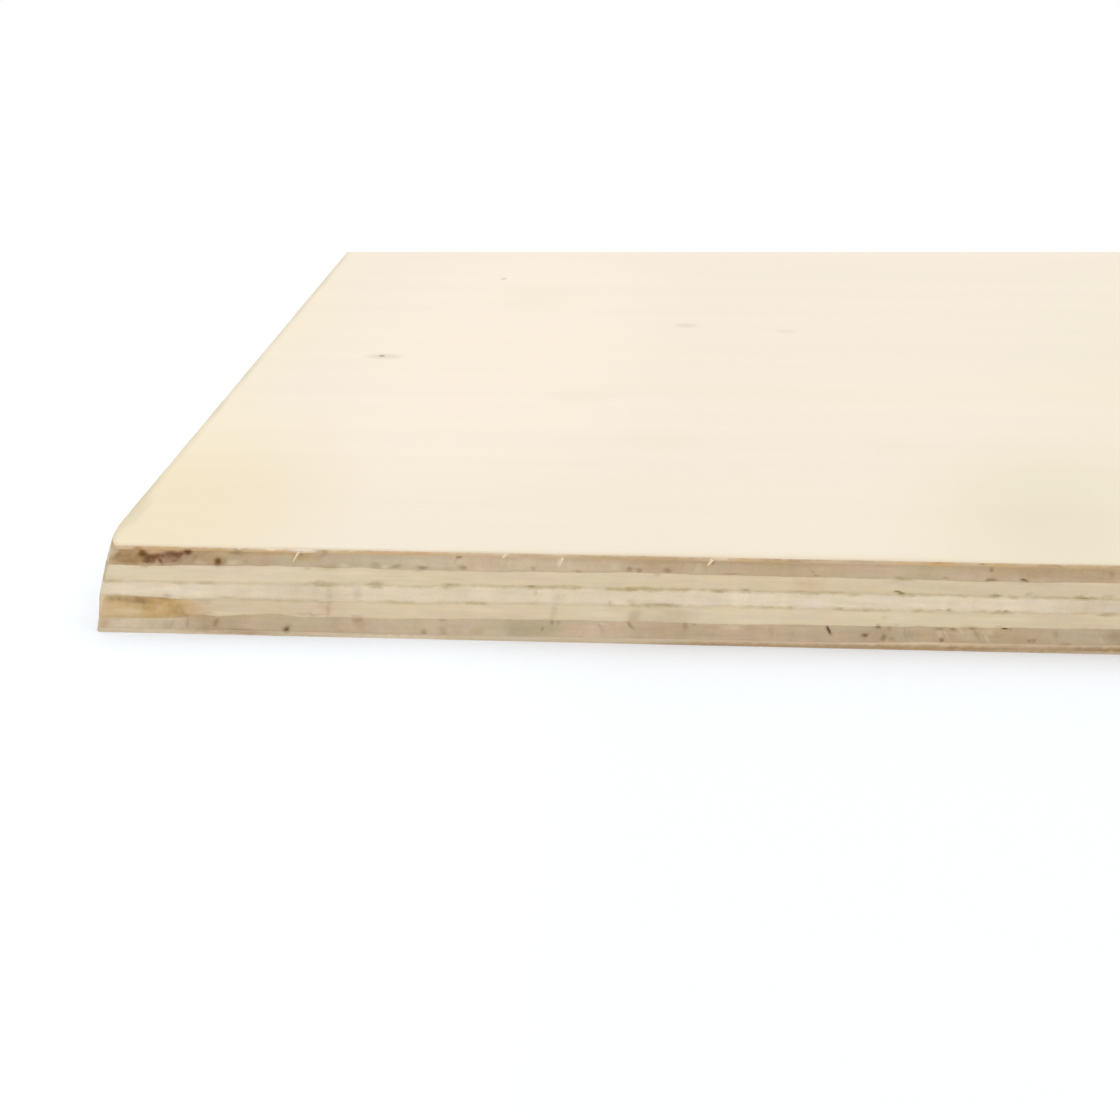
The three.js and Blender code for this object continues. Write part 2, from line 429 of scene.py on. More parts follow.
# Everything else that shows there, veneer by veneer, in mm: the kind of mark, how far along and how
# high up it lies, half its length and height, how strongly it shows, and how much it leans, if it
# does. Later marks lie over earlier ones.
EDGE_MARKS = {
    "face_veneer": (
        ("stain", 16, 11.75, 9, 0.4, 0.15), ("stain", 90, 11.75, 3.5, 0.35, 0.16),
        ("stain", 126, 11.75, 4.5, 0.35, 0.14), ("pale", 75, 12.1, 90, 0.25, 0.6),
        ("pale", 26, 12.1, 22, 0.27, 0.55), ("scorch", 9.6, 11.7, 2.8, 0.4, 0.5),
        ("scorch", 6.4, 11.55, 0.9, 0.45, 0.7), ("umber", 6.3, 11.5, 0.9, 0.3, 0.38),
        ("knot", 12.7, 11.5, 0.55, 0.25, 0.6), ("face_rosy", 12.7, 12.05, 0.8, 0.14, 0.3),
        ("scorch", 7.6, 11.55, 1.1, 0.3, 0.4), ("scorch", 15.9, 11.6, 2.7, 0.33, 0.5),
        ("pale", 19, 12.05, 1.6, 0.25, 0.5), ("spot", 19.4, 11.5, 0.6, 0.3, 0.5),
        ("face_rosy", 19.7, 12.02, 0.8, 0.15, 0.4), ("scorch", 24.2, 11.5, 2.8, 0.25, 0.6),
        ("face_yellow", 25, 12.1, 3.4, 0.3, 0.75), ("face_rosy", 28.1, 11.95, 1.5, 0.4, 0.95),
        ("face_rosy", 23.6, 11.98, 0.7, 0.16, 0.6), ("scorch", 30.4, 11.6, 0.8, 0.35, 0.4),
        ("spot", 30.9, 11.5, 0.4, 0.35, 0.4), ("scorch", 36.5, 11.7, 3.5, 0.38, 0.45),
        ("scorch", 43, 11.7, 4.5, 0.38, 0.5), ("pale", 54.6, 11.9, 0.4, 0.4, 0.8, 0.6),
        ("brown", 57.5, 12, 2.2, 0.4, 0.3), ("brown", 64.6, 11.95, 1.3, 0.4, 0.3),
        ("glue", 67.8, 11.7, 2.8, 0.4, 0.45), ("brown", 75.5, 11.7, 4.8, 0.38, 0.4),
        ("stain", 72, 11.9, 1.8, 0.3, 0.3), ("pale", 82.4, 12, 1.4, 0.32, 0.7),
        ("pale", 87.2, 12, 0.7, 0.3, 0.4), ("scorch", 85.4, 11.7, 2.6, 0.4, 0.4),
        ("brown", 88.4, 11.95, 1.2, 0.4, 0.35), ("brown", 91, 11.65, 2.6, 0.32, 0.35),
        ("spot", 92, 11.75, 0.8, 0.15, 0.35), ("brown", 94.2, 11.95, 2.4, 0.35, 0.4),
        ("spot", 89.7, 11.85, 0.5, 0.12, 0.4), ("brown", 100.3, 11.95, 2, 0.3, 0.35),
        ("scorch", 106.3, 11.75, 1.6, 0.35, 0.5), ("scorch", 110.6, 11.7, 2.6, 0.4, 0.8),
        ("spot", 110.3, 11.85, 0.8, 0.14, 0.3), ("scorch", 118.2, 11.75, 2.4, 0.35, 0.55),
        ("spot", 115.9, 11.85, 0.5, 0.12, 0.6), ("brown", 124.2, 11.65, 2.7, 0.34, 0.45),
        ("spot", 125.6, 11.75, 0.7, 0.15, 0.35), ("brown", 132, 11.65, 4.5, 0.36, 0.4),
    ),
    "upper_crossband": (
        # The strip beside the face is browned, and broad stretches are greyer, redder or darker.
        ("brown", 80, 11.4, 75, 0.45, 0.35), ("brown", 18.5, 11.3, 7, 0.5, 0.5),
        ("stain", 24.8, 11.35, 3, 0.3, 0.5), ("spot", 14, 10.6, 6.5, 1.5, 0.4),
        ("stain", 14, 10.6, 6.5, 1.6, 0.2), ("grey", 18.8, 10.6, 2.4, 0.8, 0.35),
        ("pale", 18.4, 9.95, 1.3, 0.4, 0.35), ("red", 22.6, 10.6, 2.2, 1, 0.5),
        ("tan", 17, 11.2, 1.2, 0.32, 0.45), ("grey", 25.5, 10.4, 1.6, 0.9, 0.6),
        ("spot", 24, 10.5, 1.6, 1, 0.12), ("stain", 28.4, 10.9, 2, 0.8, 0.4),
        ("spot", 27.8, 11, 1.1, 0.6, 0.3), ("umber", 29.9, 10.75, 0.7, 0.4, 0.16),
        ("umber", 30.8, 11.3, 0.7, 0.3, 0.25), ("red", 32.8, 10.9, 1.6, 0.6, 0.5),
        ("grey", 36.5, 10.6, 5, 1, 0.7), ("pale", 52, 10.7, 17, 1.6, 0.25),
        ("red", 52, 10.7, 3, 1, 0.4), ("red", 60, 10.7, 4, 1, 0.2), ("brown", 75, 10.8, 5.2, 1.1, 0.4),
        ("umber", 87, 10.7, 6, 1.4, 0.07), ("stain", 91.5, 10.6, 7.5, 1.5, 0.18),
        ("red", 100, 10.9, 4.5, 0.7, 0.6), ("grey", 108.5, 10.6, 4, 1, 0.6),
        ("stain", 110.5, 10.6, 3.5, 1.4, 0.14), ("stain", 118, 10.8, 2, 0.9, 0.3),
        ("brown", 122, 10.9, 3.5, 0.9, 0.5), ("grey", 126.2, 10.5, 1.3, 0.9, 0.5),
        ("brown", 130, 10.7, 7, 1.3, 0.45),
        # A knot lies beside the corner, in olive brown wood that turns mauve and red-brown.
        ("scorch", 4.8, 10.6, 3.6, 1.5, 0.66), ("umber", 4.9, 10.5, 2.9, 1.4, 0.45),
        ("umber", 5.3, 9.9, 1.6, 0.3, 0.35), ("pale", 2.9, 11, 0.65, 0.65, 0.33, 0.5),
        ("tan", 5.9, 10.9, 0.4, 0.6, 0.2, 0.3), ("umber", 3.4, 10.5, 0.45, 0.5, 0.25, 0.6),
        ("bark", 10, 10.5, 2.3, 0.95, 1), ("scorch", 7, 10.7, 1.4, 1, 0.4),
        ("scorch", 6.9, 10.3, 1.2, 0.5, 0.3), ("scorch", 8.5, 11.2, 0.9, 0.25, 0.35),
        ("scorch", 11.2, 11.3, 1.4, 0.25, 0.5), ("red", 8.7, 11.3, 0.9, 0.2, 0.4),
        ("umber", 6.8, 11, 0.6, 0.5, 1), ("umber", 7.2, 10.65, 0.5, 0.4, 0.65),
        ("umber", 6.2, 10.45, 0.55, 0.5, 0.45), ("umber", 7.6, 10.3, 0.85, 0.45, 1, 0.5),
        ("umber", 7.4, 9.78, 0.65, 0.25, 0.8), ("umber", 7.8, 9.9, 0.6, 0.4, 0.6),
        ("knot", 8.1, 10.05, 0.3, 0.35, 0.6, 0.3), ("knot", 9.1, 9.92, 0.24, 0.5, 0.85, -0.4),
        ("knot", 8.7, 10.62, 1.15, 0.36, 0.85, 0.8), ("knot", 10.7, 11, 1, 0.46, 0.7),
        ("knot", 11.6, 10.9, 0.7, 0.34, 0.85, 0.6), ("knot", 11.4, 10.6, 0.45, 0.25, 0.5),
        ("umber", 11.3, 10.55, 0.5, 0.25, 0.25), ("knot", 12.75, 11.35, 0.62, 0.42, 1, 0.2),
        ("knot", 12, 11.1, 0.4, 0.24, 0.55), ("knot", 10.95, 9.98, 0.35, 0.28, 0.5, 0.4),
        ("umber", 12.85, 11.15, 0.45, 0.25, 0.6), ("spot", 13.6, 10.4, 0.35, 0.6, 0.35, 0.4),
        ("pale", 14.4, 9.75, 1, 0.25, 0.2), ("scorch", 16.6, 10.2, 1.2, 0.8, 0.4),
        ("umber", 17.1, 10.08, 0.9, 0.5, 0.42), ("umber", 16.7, 10.06, 0.5, 0.46, 1),
        ("knot", 16.65, 10.08, 0.25, 0.24, 0.5), ("spot", 16.7, 9.65, 0.8, 0.22, 0.45),
        ("spot", 19.3, 11.35, 0.7, 0.25, 0.5), ("spot", 20.4, 10.05, 0.35, 0.2, 0.35),
        # Bruised grain, and small voids over the glue line.
        ("spot", 31.7, 9.75, 1.6, 0.25, 0.2), ("pale", 33.3, 9.85, 0.7, 0.35, 0.3),
        ("spot", 37.5, 10, 0.6, 0.5, 0.22), ("pale", 38.7, 9.8, 0.5, 0.3, 0.5),
        ("spot", 40.3, 9.95, 0.6, 0.26, 0.5, 0.8), ("spot", 39.7, 9.7, 0.5, 0.12, 0.3),
        ("spot", 43.6, 9.74, 0.8, 0.27, 0.5, 0.5), ("void", 43.6, 9.75, 0.5, 0.15, 0.2, 0.6),
        ("spot", 47.2, 9.85, 1.1, 0.2, 0.15), ("spot", 48.9, 9.9, 0.7, 0.35, 0.45),
        ("void", 48.9, 9.95, 0.35, 0.18, 0.2), ("spot", 48.45, 11.4, 0.35, 0.4, 0.75, 0.3),
        ("spot", 48, 10.8, 0.2, 0.5, 0.25, 0.4), ("spot", 58.1, 10, 0.3, 0.35, 0.35),
        ("spot", 64, 9.75, 0.5, 0.2, 0.4), ("pale", 68.6, 10.4, 0.6, 0.4, 0.25),
        ("spot", 70.6, 10.05, 0.45, 0.35, 0.5), ("spot", 71.9, 10, 0.4, 0.3, 0.5),
        ("spot", 75.6, 10.08, 0.6, 0.32, 0.5), ("umber", 81.45, 11.2, 0.2, 0.25, 0.45, 0.3),
        ("umber", 27.75, 11.15, 0.25, 0.3, 0.25, 0.3), ("pale", 61.65, 11.05, 0.35, 0.65, 0.5, 0.35),
        ("glue", 80.3, 11, 0.6, 0.8, 0.25), ("pale", 79.7, 10.4, 0.7, 0.7, 0.25),
        ("spot", 84, 9.9, 1.2, 0.12, 0.35), ("spot", 94.3, 10.3, 0.15, 0.7, 0.35, -1),
        ("spot", 94.8, 9.85, 0.35, 0.15, 0.5, -0.5), ("spot", 105.4, 9.75, 0.6, 0.15, 0.45),
        ("spot", 111.3, 9.75, 0.5, 0.15, 0.35), ("spot", 117.1, 11.05, 0.3, 0.35, 0.75),
        ("void", 117.2, 9.68, 0.75, 0.18, 0.45), ("void", 121.3, 9.74, 0.5, 0.16, 0.6, -1.2),
        ("spot", 132.4, 10.8, 0.4, 0.4, 0.3),
    ),
    "upper_core_ply": (
        ("tan", 2.9, 7.4, 1, 0.25, 0.6), ("pale", 3, 8.4, 2.3, 0.85, 0.42),
        ("spot", 7, 9.3, 0.9, 0.3, 0.4), ("umber", 16.7, 9.38, 0.9, 0.3, 0.6),
        ("spot", 28.6, 9.4, 0.6, 0.3, 0.3), ("spot", 43.3, 9.45, 0.7, 0.22, 0.35),
        ("red", 18, 8.5, 7, 1, 0.7), ("pale", 20, 8.5, 12, 1.4, 0.25),
        ("spot", 32, 8.4, 1.6, 1.2, 0.06), ("stain", 85, 8.5, 18, 1.4, 0.09),
        ("stain", 61, 8.5, 24, 1.4, 0.07), ("red", 59.5, 8.5, 3, 0.8, 0.8),
        ("grey", 66.5, 8.3, 2, 0.9, 0.4), ("stain", 93.8, 8.6, 2.2, 0.9, 0.25),
        # The broad faint spot at 118 mm darkens the veneer towards the right end of the marked stretch.
        ("spot", 118, 8.5, 28, 2.2, 0.12), ("brown", 74.3, 9.6, 0.6, 0.3, 0.4),
        ("spot", 37.4, 7.4, 1.2, 0.45, 0.35), ("glue", 29.9, 7.6, 1.3, 0.25, 0.4),
        ("glue", 72.4, 7.7, 1.3, 0.22, 0.4), ("spot", 132.1, 7.85, 0.8, 0.25, 0.25),
        ("umber", 58, 7.55, 0.5, 0.2, 0.55), ("spot", 70.7, 7.6, 0.6, 0.15, 0.4),
        ("spot", 85.7, 7.72, 0.5, 0.15, 0.5), ("void", 105.4, 7.79, 0.55, 0.14, 0.6, -3),
        ("spot", 118, 7.65, 0.5, 0.15, 0.5), ("spot", 122, 7.95, 0.4, 0.25, 0.3),
        ("spot", 128.4, 7.75, 0.7, 0.2, 0.35), ("void", 129.1, 7.55, 0.5, 0.12, 0.2, -3),
    ),
    "centre_ply": (
        ("red", 6, 6.2, 5, 0.8, 0.4), ("pale", 5.6, 5.9, 1.6, 0.6, 0.8), ("pale", 9, 6, 1.5, 0.5, 0.6),
        ("pale", 12.2, 6.2, 1.7, 0.6, 0.5), ("face_rosy", 9.6, 5.95, 6.5, 0.55, 0.28),
        ("spot", 2.4, 6.95, 2.4, 0.25, 0.25), ("glue", 11.3, 7.12, 1, 0.2, 0.5),
        ("glue", 14.9, 7.12, 1.6, 0.21, 0.5), ("spot", 17.8, 5.25, 1.2, 0.18, 0.35),
        ("brown", 3.2, 5.15, 1.4, 0.25, 0.4), ("spot", 9.9, 5.22, 0.6, 0.3, 0.4),
        ("pale", 40, 6.3, 36, 1.4, 0.2), ("spot", 28, 6.2, 9, 1.6, 0.12),
        ("stain", 63, 6.4, 17, 1.2, 0.06), ("spot", 31.3, 5.9, 0.5, 1.2, 0.15),
        ("spot", 35, 6.2, 0.6, 1, 0.15), ("grey", 61.7, 6.2, 1.1, 0.7, 0.6, 0.3),
        ("spot", 61.7, 6.1, 0.9, 0.6, 0.06, 0.3), ("glue", 46.8, 7.2, 0.9, 0.22, 0.45),
        ("glue", 58.2, 7.35, 0.8, 0.2, 0.5), ("glue", 62.9, 7.4, 1, 0.2, 0.4),
        ("glue", 70.8, 7.35, 0.9, 0.22, 0.6), ("spot", 58.4, 6.7, 0.3, 0.35, 0.2),
        ("spot", 68.1, 5.6, 0.25, 0.3, 0.3), ("spot", 70.9, 5.75, 0.9, 0.35, 0.22),
        ("spot", 37.6, 7.02, 0.9, 0.26, 0.45), ("spot", 33.9, 7.05, 0.8, 0.16, 0.25),
        ("spot", 75, 5.5, 1.8, 0.15, 0.4), ("spot", 72.6, 5.5, 0.8, 0.25, 0.25),
        ("pale", 82, 6.4, 3, 0.7, 0.35), ("spot", 107.3, 7.4, 0.6, 0.13, 0.3),
        ("glue", 99.6, 7.3, 1.2, 0.18, 0.4), ("spot", 111, 5.55, 0.8, 0.14, 0.35),
        ("spot", 111.9, 5.6, 0.3, 0.18, 0.5), ("spot", 118.2, 5.6, 0.3, 0.12, 0.4),
        # The broad faint spot at 131.5 mm darkens the veneer towards the right end of the marked stretch.
        ("spot", 119.3, 5.6, 0.35, 0.15, 0.5), ("spot", 131.5, 6.4, 6, 1.8, 0.2),
    ),
    "lower_core_ply": (
        # A golden stain runs in from the corner.
        ("stain", 4.5, 3.7, 7.5, 2.6, 0.68), ("spot", 9.8, 3.6, 3.2, 1.7, 0.25),
        ("stain", 9.3, 3.6, 3.2, 2, 0.85), ("pale", 4.4, 3, 2.2, 0.45, 0.3),
        ("tan", 13.6, 3.6, 2.1, 1.1, 0.5), ("stain", 12.6, 3.2, 1.8, 1.4, 0.35),
        ("brown", 4.8, 4.8, 4.6, 0.45, 0.45), ("spot", 2.9, 4.7, 1.2, 0.35, 0.4),
        ("umber", 4.9, 4.4, 1.1, 0.4, 0.2, -0.5), ("spot", 6.2, 4.55, 1.15, 0.5, 0.6, -0.3),
        ("brown", 6.6, 3.8, 0.9, 0.45, 0.3), ("spot", 9.3, 4.85, 1.3, 0.26, 0.3),
        ("pale", 1, 4.9, 0.45, 0.5, 0.5), ("pale", 0.75, 3.8, 0.4, 1.2, 0.4, 0.1),
        ("spot", 14.9, 4.5, 0.9, 0.35, 0.2), ("spot", 12.1, 2.5, 1.2, 0.35, 0.3),
        ("spot", 15, 2.95, 0.9, 0.2, 0.3), ("spot", 11.2, 3.2, 1.1, 1, 0.25),
        ("tan", 8.9, 3.4, 0.9, 0.7, 0.45, 0.5), ("spot", 22, 4, 7.5, 1.6, 0.13),
        ("spot", 24.9, 5, 0.8, 0.3, 0.18), ("stain", 42, 4, 32, 1.6, 0.06),
        ("pale", 66, 4.1, 3, 1.2, 0.3), ("pale", 86, 4.1, 7.5, 1.3, 0.3),
        ("pale", 122, 4, 5, 1.2, 0.25), ("red", 30, 3.9, 3.4, 1.1, 0.9),
        ("spot", 30.4, 4.4, 0.8, 0.4, 0.15), ("spot", 30, 3.8, 4, 1.3, 0.06),
        ("spot", 31.2, 4, 0.35, 1.2, 0.25, 0.15), ("spot", 32.5, 4, 1.4, 1.2, 0.08),
        ("spot", 28.6, 3.15, 2.2, 0.18, 0.3), ("spot", 30.8, 4.95, 1, 0.25, 0.25),
        ("spot", 35, 3, 0.8, 0.25, 0.25), ("red", 55.5, 4, 1.2, 0.8, 0.6),
        ("spot", 60.8, 4, 0.5, 1.2, 0.2, 0.3), ("spot", 75.2, 4.1, 4, 1.5, 0.2),
        ("spot", 71.2, 3.7, 0.9, 1.1, 0.25, 0.2), ("pale", 74, 4.3, 1.6, 0.6, 0.3),
        ("red", 97, 3.6, 1, 0.5, 0.8), ("spot", 103.6, 4.3, 0.5, 0.15, 0.2),
        ("umber", 102.9, 3.3, 0.3, 0.25, 0.35), ("spot", 105.3, 3.4, 0.45, 0.15, 0.25),
        # The broad faint spot at 128 mm darkens the veneer towards the right end of the marked stretch.
        ("spot", 118.3, 3.4, 0.6, 0.14, 0.35), ("spot", 128, 4.2, 7, 1.8, 0.12),
        ("spot", 131.8, 5.28, 1, 0.16, 0.4),
    ),
    "lower_crossband": (
        ("pale", 6.3, 1.4, 6.4, 1.6, 0.5), ("pale", 4.9, 1.55, 1.3, 0.6, 0.7),
        ("red", 4.9, 1.5, 1.6, 0.6, 0.3), ("red", 1.2, 1, 0.7, 0.8, 0.7),
        ("scorch", 1.3, 1.8, 0.7, 0.5, 0.25), ("grey", 3.4, 1.85, 1.8, 0.25, 0.5),
        ("bark", 8, 1.2, 2.4, 1.1, 0.12), ("grey", 10, 1.3, 0.9, 0.8, 0.45, 0.6),
        ("spot", 10.2, 1.2, 0.3, 0.7, 0.16, 0.5), ("spot", 15.5, 1.6, 3.6, 1.4, 0.18),
        ("brown", 14, 2.3, 1.8, 0.6, 0.4), ("brown", 14.6, 0.9, 0.9, 0.5, 0.3),
        ("grey", 28, 2, 5, 1, 0.7), ("stain", 22.5, 2.4, 9, 0.5, 0.1), ("red", 32, 1, 3.5, 0.6, 0.2),
        ("pale", 50, 1.8, 22, 2, 0.2), ("pale", 57, 0.9, 13, 0.6, 0.2),
        ("pale", 83, 0.9, 12, 0.4, 0.12), ("grey", 57.5, 1.8, 4, 1.2, 0.9),
        ("spot", 57.5, 1.8, 4.5, 1.3, 0.12), ("red", 65, 1.7, 3.2, 1.1, 0.6),
        ("pale", 66, 1.5, 2.8, 1.2, 0.25), ("umber", 76, 1.8, 4, 1.2, 0.12),
        ("red", 85, 1.8, 3.5, 1.1, 0.25), ("spot", 101, 2, 4, 1.3, 0.08),
        ("umber", 103.2, 2.2, 1.8, 1.2, 0.15), ("glue", 113, 2.2, 6, 1.4, 0.2),
        ("glue", 120.5, 2.2, 4, 1.2, 0.2), ("umber", 120.5, 1.5, 5, 1, 0.08),
        ("grey", 129, 2.3, 2.5, 1, 0.6), ("umber", 138, 2, 5, 1.5, 0.3),
        # Bruised grain.
        ("spot", 12.4, 1.7, 0.25, 0.8, 0.3, 0.1), ("spot", 16.2, 1.75, 0.35, 0.55, 0.5, 0.4),
        ("spot", 19.5, 0.7, 2.4, 0.2, 0.35), ("spot", 25.5, 1.05, 0.6, 0.55, 0.5, 0.3),
        ("void", 25.5, 0.95, 0.27, 0.34, 0.55, 0.35), ("spot", 35, 2.55, 0.8, 0.3, 0.5),
        ("spot", 35.2, 1.9, 0.9, 0.7, 0.25), ("spot", 43.7, 1.05, 0.4, 0.5, 0.5, 0.2),
        ("spot", 48.1, 1.2, 0.8, 0.5, 0.15), ("spot", 46.3, 1.2, 0.6, 0.6, 0.3, -0.3),
        ("spot", 46.2, 2.7, 0.6, 0.25, 0.3), ("brown", 50.6, 1.22, 1.1, 0.5, 0.45),
        ("spot", 59.3, 1.75, 0.2, 0.35, 0.5), ("spot", 60.6, 2.75, 0.3, 0.4, 0.5, 0.2),
        ("spot", 61.4, 2.8, 0.25, 0.4, 0.35), ("pale", 67.2, 2.75, 0.8, 0.3, 0.3),
        ("spot", 66.9, 2.2, 0.25, 0.8, 0.22, -0.4), ("spot", 70.7, 2.75, 0.4, 0.35, 0.5, -0.8),
        ("spot", 71, 2.3, 0.25, 0.5, 0.4, -0.8), ("pale", 84, 2.55, 1.4, 0.4, 0.35),
        ("spot", 78, 2.6, 0.35, 0.7, 0.4), ("spot", 79.1, 2.95, 0.3, 0.25, 0.35),
        ("spot", 89.2, 2, 0.35, 0.9, 0.2),
        # A short crack leans beside a run of torn grain.
        ("void", 96.57, 2.4, 0.19, 0.52, 0.92, -0.42), ("spot", 101.2, 1.95, 0.45, 0.35, 0.65, 0.5),
        ("void", 101.2, 1.95, 0.2, 0.2, 0.4), ("umber", 102.9, 3.05, 0.3, 0.36, 0.62, -0.5),
        ("tan", 103.9, 1.05, 0.9, 0.3, 0.75), ("umber", 103.6, 1.6, 0.33, 0.55, 0.5),
        ("umber", 104.4, 2.85, 0.35, 0.28, 0.22), ("spot", 104.7, 1.5, 0.4, 0.3, 0.3),
        ("spot", 106.4, 2.3, 0.1, 0.8, 0.35, -0.2), ("spot", 107.5, 2.1, 1.2, 0.5, 0.15),
        ("pale", 110.8, 2.3, 0.5, 0.45, 0.35), ("spot", 110.8, 2.9, 0.6, 0.18, 0.55),
        ("umber", 111.1, 1.42, 0.28, 0.32, 0.7), ("pale", 111.7, 2.3, 0.12, 0.7, 0.35, -0.6),
        ("spot", 112.6, 2.95, 0.45, 0.25, 0.6), ("pale", 114.1, 2.2, 1.4, 0.6, 0.2),
        ("pale", 117, 2.6, 0.9, 0.5, 0.25), ("pale", 113.5, 2.8, 0.13, 0.65, 0.5, -0.6),
        ("spot", 115, 3, 0.55, 0.18, 0.6), ("spot", 115.6, 2.2, 0.3, 0.7, 0.35, -0.5),
        ("pale", 116.9, 1.8, 0.12, 0.6, 0.45, -0.7), ("void", 119.1, 3.15, 0.4, 0.15, 0.7, -1.5),
        ("spot", 119.9, 3.05, 0.15, 0.3, 0.5), ("spot", 122.4, 1.55, 0.3, 0.2, 0.6),
        ("spot", 122.95, 1.65, 0.2, 0.25, 0.6), ("spot", 125.7, 2.5, 0.5, 0.5, 0.3),
        ("umber", 127, 1.1, 0.7, 0.4, 0.25), ("pale", 131.6, 1.9, 0.12, 0.6, 0.3, -0.9),
        ("umber", 132.8, 2.6, 2, 0.8, 0.2),
    ),
    "back_veneer": (
        # The brown and umber strips along the foot of the veneer are partly browned wood and partly
        # painted shade, where the sheet meets the floor.
        ("pale", 6, 0.3, 6, 0.8, 0.3), ("pale", 13, 0, 16, 0.25, 0.4), ("brown", 96, 0, 28, 0.3, 0.6),
        ("umber", 79, 0, 5, 0.25, 0.25), ("tan", 100.7, 0.62, 1.6, 0.2, 0.4),
        ("spot", 18, 0.55, 6, 0.3, 0.15), ("spot", 14.3, 0.5, 1.1, 0.3, 0.25),
        ("umber", 25.6, 0.6, 0.4, 0.35, 0.35, 0.3), ("brown", 19.8, 0.33, 3.4, 0.2, 0.6),
        ("pale", 40, 0.1, 8, 0.4, 0.75), ("pale", 58, 0.4, 13, 0.6, 0.3),
        ("pale", 63, 0.8, 5, 0.2, 0.4), ("brown", 105, 0.5, 34, 1, 0.13),
        ("tan", 83, 0.75, 1.8, 0.18, 0.7), ("tan", 86.3, 0.75, 1.2, 0.18, 0.6),
        ("tan", 93.6, 0.72, 2.4, 0.18, 0.7), ("tan", 98.5, 0.72, 2.2, 0.15, 0.4),
        ("pale", 100.5, 0.82, 5, 0.15, 0.4), ("tan", 104.2, 0.8, 3, 0.2, 0.8),
        ("tan", 111.8, 0.97, 4.8, 0.24, 1), ("pale", 109, 0.95, 4.5, 0.2, 0.5),
        ("pale", 122, 1, 2.5, 0.15, 0.12), ("tan", 121.3, 0.97, 5, 0.18, 0.3),
        ("tan", 131, 1.12, 5, 0.13, 0.6), ("brown", 120.5, 1, 1.2, 0.15, 0.5),
        ("brown", 126.9, 1.1, 0.9, 0.14, 0.5), ("tan", 125.1, 0.95, 1.1, 0.18, 0.4),
        ("brown", 118.8, 0.8, 1, 0.14, 0.35), ("brown", 84, 0.3, 9, 0.22, 0.6),
        ("brown", 103.5, 0.32, 12, 0.22, 0.65), ("umber", 104.5, 0.38, 3, 0.2, 0.2),
        ("brown", 117, 0.45, 14, 0.28, 0.76), ("red", 122, 0.5, 2.4, 0.2, 0.4),
        ("bark", 112.5, 0.5, 0.8, 0.16, 0.5), ("bark", 116, 0.45, 1.4, 0.16, 0.4),
        ("umber", 119, 0.45, 1.6, 0.15, 0.25), ("brown", 134, 0.65, 9, 0.3, 0.9),
        ("umber", 131.5, 0.6, 4, 0.2, 0.25),
    ),
}

# How deep the kinds of marks that are hollow go, as a share of a void's depth.
HOLLOWS = {"void": 1.0, "knot": 0.15, "umber": 0.1, "spot": 0.08}

# What the noise that frays the marks starts from. With no seed set, it would start from the time.
FRAY_SEED = 1


def line_lift(line, along):
    """How far a glue line lies off its place, in metres, at these distances along in mm."""
    if line not in LINE_LIFTS:
        return np.zeros(len(along))
    places, lifts = zip(*LINE_LIFTS[line])
    return np.interp(along, places, lifts) * MM


def line_glue(line, along):
    """How strongly glue shows at a line, at these distances along in mm."""
    shown = np.full(len(along), PLAIN_GLUE.get(line, FAINT_GLUE))
    for start, end, strength in GLUE_DASHES.get(line, ()):
        inside = np.clip(np.minimum(along - start, end - along) / DASH_FADE + 0.5, 0, 1)
        shown = np.maximum(shown, strength * inside)
    return shown


def ragged(along, up, line):
    """The same places, shifted by a coarse and a fine noise in mm, which frays what is drawn at them."""
    noise.seed_set(FRAY_SEED)
    shifts = np.zeros((len(along), 3))
    for size, reach in ((0.9, 0.16), (0.3, 0.07)):
        places = np.column_stack([along / size, up / size, np.full(len(along), line)])
        shifts += reach * np.array([noise.noise_vector(place) for place in places])
    return along + shifts[:, 0], up + shifts[:, 1]


def mark_edge(node, points, data):
    """Adds what the wood and the relief of a veneer's marked stretch of edge need to its data."""
    wood = bpy.context.scene.plywood.wood
    family = "core" if "core" in node or "centre" in node else "crossband"
    kinds = {tint: f"{family}_{tint}" for tint in ("red", "grey")}
    along = (points[:, 0] - CAD_LOW.x) / MM
    inland = (points[:, 1] - CAD_LOW.y) / MM
    share, line = data["share"], VENEERS.index(node)

    lift = (1 - share) * line_lift(line + 1, along) + share * line_lift(line, along)
    data["lift"] = lift * np.clip((LIFT_REACH - inland) / LIFT_FADE, 0, 1)
    # The marks are full to 45 degrees round the corner from the front, and gone at 78 degrees.
    facing = np.clip(-2 * data["outward"][:, 1] - 0.4, 0, 1)
    data["near"] = facing * np.clip((MARKED_LENGTH - along) / MARKED_FADE, 0, 1)
    data["glue"] = np.where(share < 0.5, line_glue(line + 1, along), line_glue(line, along))

    marked = np.flatnonzero(data["near"])
    up = (points[:, 2] + data["lift"])[marked] / MM
    along, up = ragged(along[marked], up, line)
    cover, hollow = np.zeros(len(marked)), np.zeros(len(marked))
    paint = np.zeros((len(marked), 3))
    for kind, mark_along, mark_up, half_length, half_height, strength, *lean in EDGE_MARKS[node]:
        rise = up - mark_up
        shift = lean[0] * rise if lean else 0
        reach = np.hypot((along - mark_along - shift) / half_length, rise / half_height)
        mark = strength * np.exp(-(reach ** 3))
        colour = np.array(getattr(wood, kinds.get(kind, kind)))
        cover = cover * (1 - mark) + mark
        paint = paint * (1 - mark)[:, None] + colour * mark[:, None]
        hollow = np.maximum(hollow, mark * HOLLOWS.get(kind, 0))

    data["mark"], data["hollow"] = np.zeros((2, len(points)))
    data["mark_colour"] = np.zeros((len(points), 3))
    data["mark"][marked] = cover * data["near"][marked]
    data["hollow"][marked] = hollow * data["near"][marked]
    data["mark_colour"][marked] = paint / np.maximum(cover, 1e-4)[:, None]


# ---------------------------------------------------------------- Geometry Nodes


